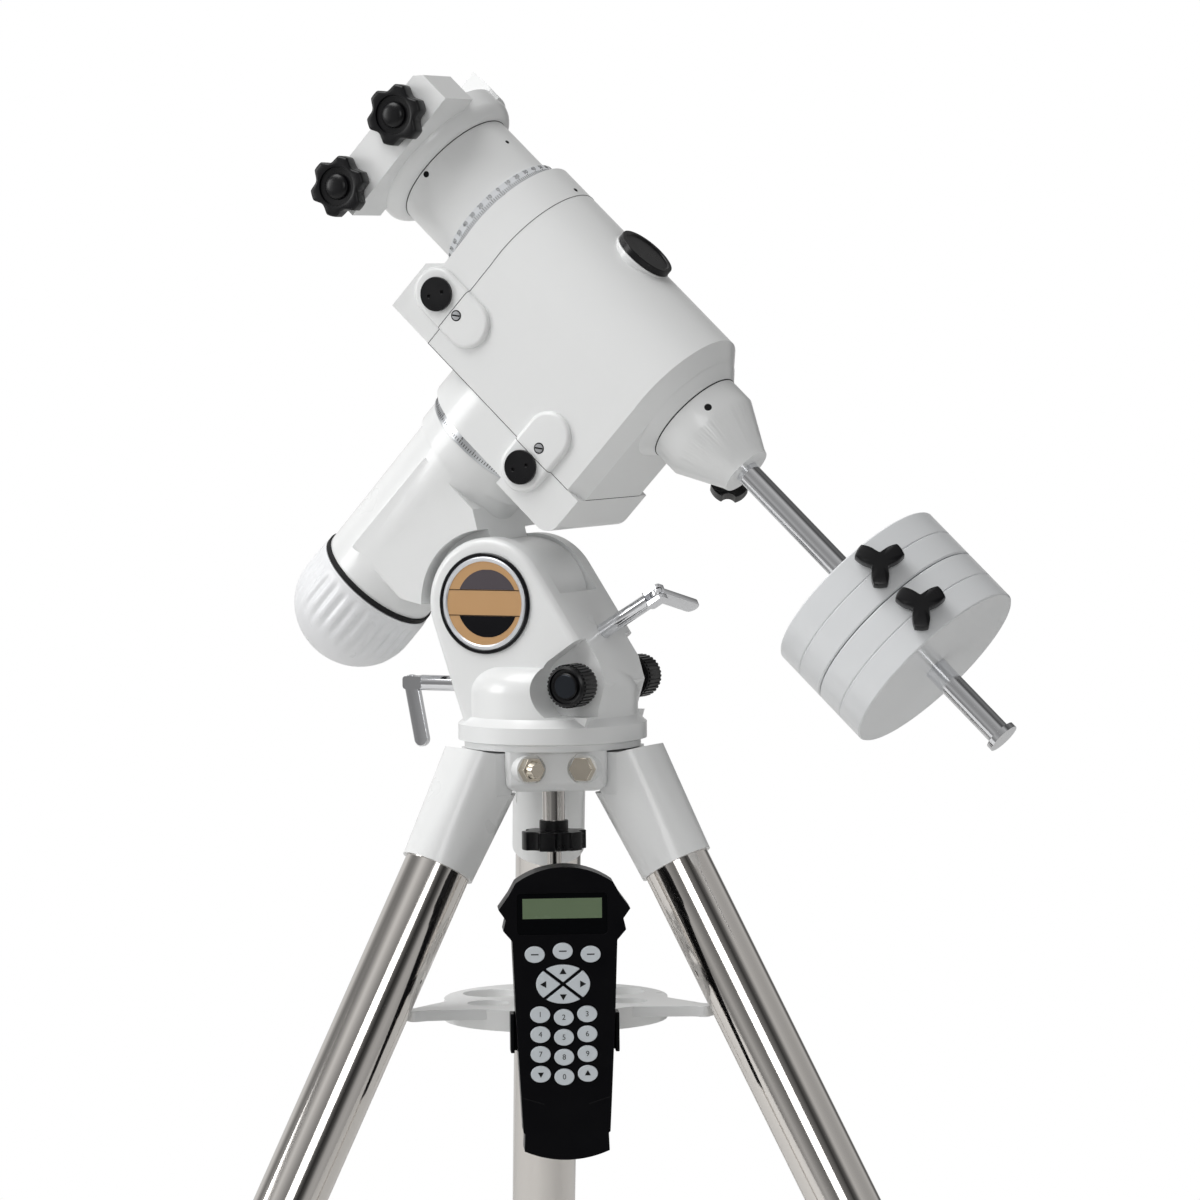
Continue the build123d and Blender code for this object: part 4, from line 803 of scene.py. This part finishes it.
# ---------------------------------------------------------------- counterweights
# Cast iron discs turned and enamelled white; each is pinched on the chromed shaft by a three-armed knob.
FLAT = [(0.93, 0, 0.05), (1.0, 0, 1.2), (1.0, 0, 7.4), (0.97, 0, 8.5), (0.9, 0, 8.95), (0.3, 0, 9.0),
        (0.02, 0, 9.0)]
iron_enamel = enamel("white enamel on turned iron", "#e6e8ea", 1.5, 0.03)
for name in ("upper", "lower"):
    dress("counterweight_" + name, iron_enamel, 0.9)
    node = "counterweight_knob_" + name
    seat = Vector(joints[node + "_turn"]["pos_m"])
    outward = Vector(joints[node + "_turn"]["axis"])
    arms = lobed(3, 18.6, 25, 7.2, 0.55, FLAT, aligned(seat, outward, dec_axis), 20)
    place_piece(arms, node + "_arms", node, "black_plastic", black_plastic, node)
    screw = turned([(0, -67), (3.9, -67), (3.9, 0.2), (0, 0.2)], aligned(seat, outward, dec_axis), 48)
    place_piece(screw, node + "_screw", node, "black_plastic", nickel, node)
dress("counterweight_shaft", chrome, 0)
dress("shaft_lock_knob", black_plastic, 1.0)

# ---------------------------------------------------------------- hand controller
# Two-part black ABS case with a sunken display, grey silicone keys with plain marks, clipped in its holder.
case_plastic = moulded("black fine-grain ABS", "#030306", 0.5, 0.36, 0.1, 1.2)
bezel_gloss = moulded("smoked acrylic window", "#040507", 3.0, 0.1, 0.0, 1.25)
display = moulded("unlit liquid crystal", "#6b7c61", 2.0, 0.25, 0.0, 1.35)
silicone = moulded("pale grey silicone keys", "#cfd5da", 1.0, 0.45)
dress("handset_case", case_plastic, 1.4)
dress("handset_holder", case_plastic, 0.6)
dress("handset_keys", silicone, 0.35)
dress("handset_arrows", silicone, 0.35)
facing = Vector((0.5, -sqrt(3) / 2, 0))
wide = Vector((sqrt(3) / 2, 0.5, 0))
FACE_OUT, MIDDLE = 129, -1.7
face_at = aligned(hub_top + facing * FACE_OUT * MM - wide * MIDDLE * MM, facing, wide)


def on_face(mesh, x, y, depth):
    """Moves a flat mesh to the controller's front: x across, y up from the hub's top, depth out, in millimetres."""
    mesh.transform(face_at @ Matrix.Translation((x * MM, y * MM, depth * MM)))
    return mesh


place_piece(on_face(block((66.2, 30.3, 0.3), (0, 0, 0)), MIDDLE, -114, -0.6), "display_bezel", "handset",
            "controller_case", bezel_gloss)
place_piece(on_face(block((58.6, 14.9, 0.3), (0, 0, 0)), MIDDLE, -110, -0.4), "display_glass", "handset",
            "controller_case", display)
# Painted shade: two dark ink lines near the bottom of the case stand for the shadow in its creases.
for x_from, tilt in ((-33.0, -17.5), (33.0, 17.5)):
    crease_shade = block((17.5, 0.5, 0.3), (0, 0, 0))
    crease_shade.transform(Matrix.Rotation(radians(tilt), 4, "Z"))
    place_piece(on_face(crease_shade, x_from * 0.75, -252.6, 0.0), f"case_crease_{'left' if x_from < 0 else 'right'}",
                "handset", "controller_case", ink)

columns, rows, middle_drop = (-18.9, -1.5, 15.8), (-188.4, -203.2, -217.9, -232.6), 2.3
PRINT_LIFT = 1.22
labels = ["1", "2", "3", "4", "5", "6", "7", "8", "9", "", "0", ""]
for i, text in enumerate(labels):
    x = columns[i % 3]
    y = rows[i // 3] - (middle_drop if i % 3 == 1 else 0)
    if text:
        place_piece(on_face(figure(text, 4.2), x, y, 1.24), "key_figure_" + text, "handset_keys", "keys", ink)


def triangle(size_mm, angle):
    """Thin triangle that points along an angle."""
    shape = bmesh.new()
    corners = [(size_mm * cos(radians(angle + t)) * MM, size_mm * sin(radians(angle + t)) * MM, 0)
               for t in (0, 120, 240)]
    shape.faces.new([shape.verts.new(c) for c in corners])
    cap = bmesh.ops.extrude_face_region(shape, geom=shape.faces[:])
    for part in cap["geom"]:
        if isinstance(part, bmesh.types.BMVert):
            part.co.z += 0.06 * MM
    bmesh.ops.recalc_face_normals(shape, faces=shape.faces)
    mesh = bpy.data.meshes.new("triangle")
    shape.to_mesh(mesh)
    shape.free()
    return mesh


for name, angle, x, y in (("up", 90, 0, 9), ("down", 270, 0, -9), ("left", 180, -14, 0), ("right", 0, 14, 0)):
    mark = on_face(triangle(3.0, angle), x + MIDDLE, y - 166, PRINT_LIFT)
    place_piece(mark, "arrow_mark_" + name, "handset_arrows", "keys", ink)
for name, angle, x in (("scroll_down", 270, columns[0]), ("scroll_up", 90, columns[2])):
    mark = on_face(triangle(2.6, angle), x, rows[3], PRINT_LIFT)
    place_piece(mark, name, "handset_keys", "keys", ink)
for name, x, y in (("menu_left", -22.4, -143.8), ("menu_middle", -1.7, -141.5), ("menu_right", 18.9, -144.1)):
    mark = on_face(block((5.6, 0.9, 0.08), (0, 0, 0)), x, y, PRINT_LIFT)
    place_piece(mark, name + "_mark", "handset_keys", "keys", ink)
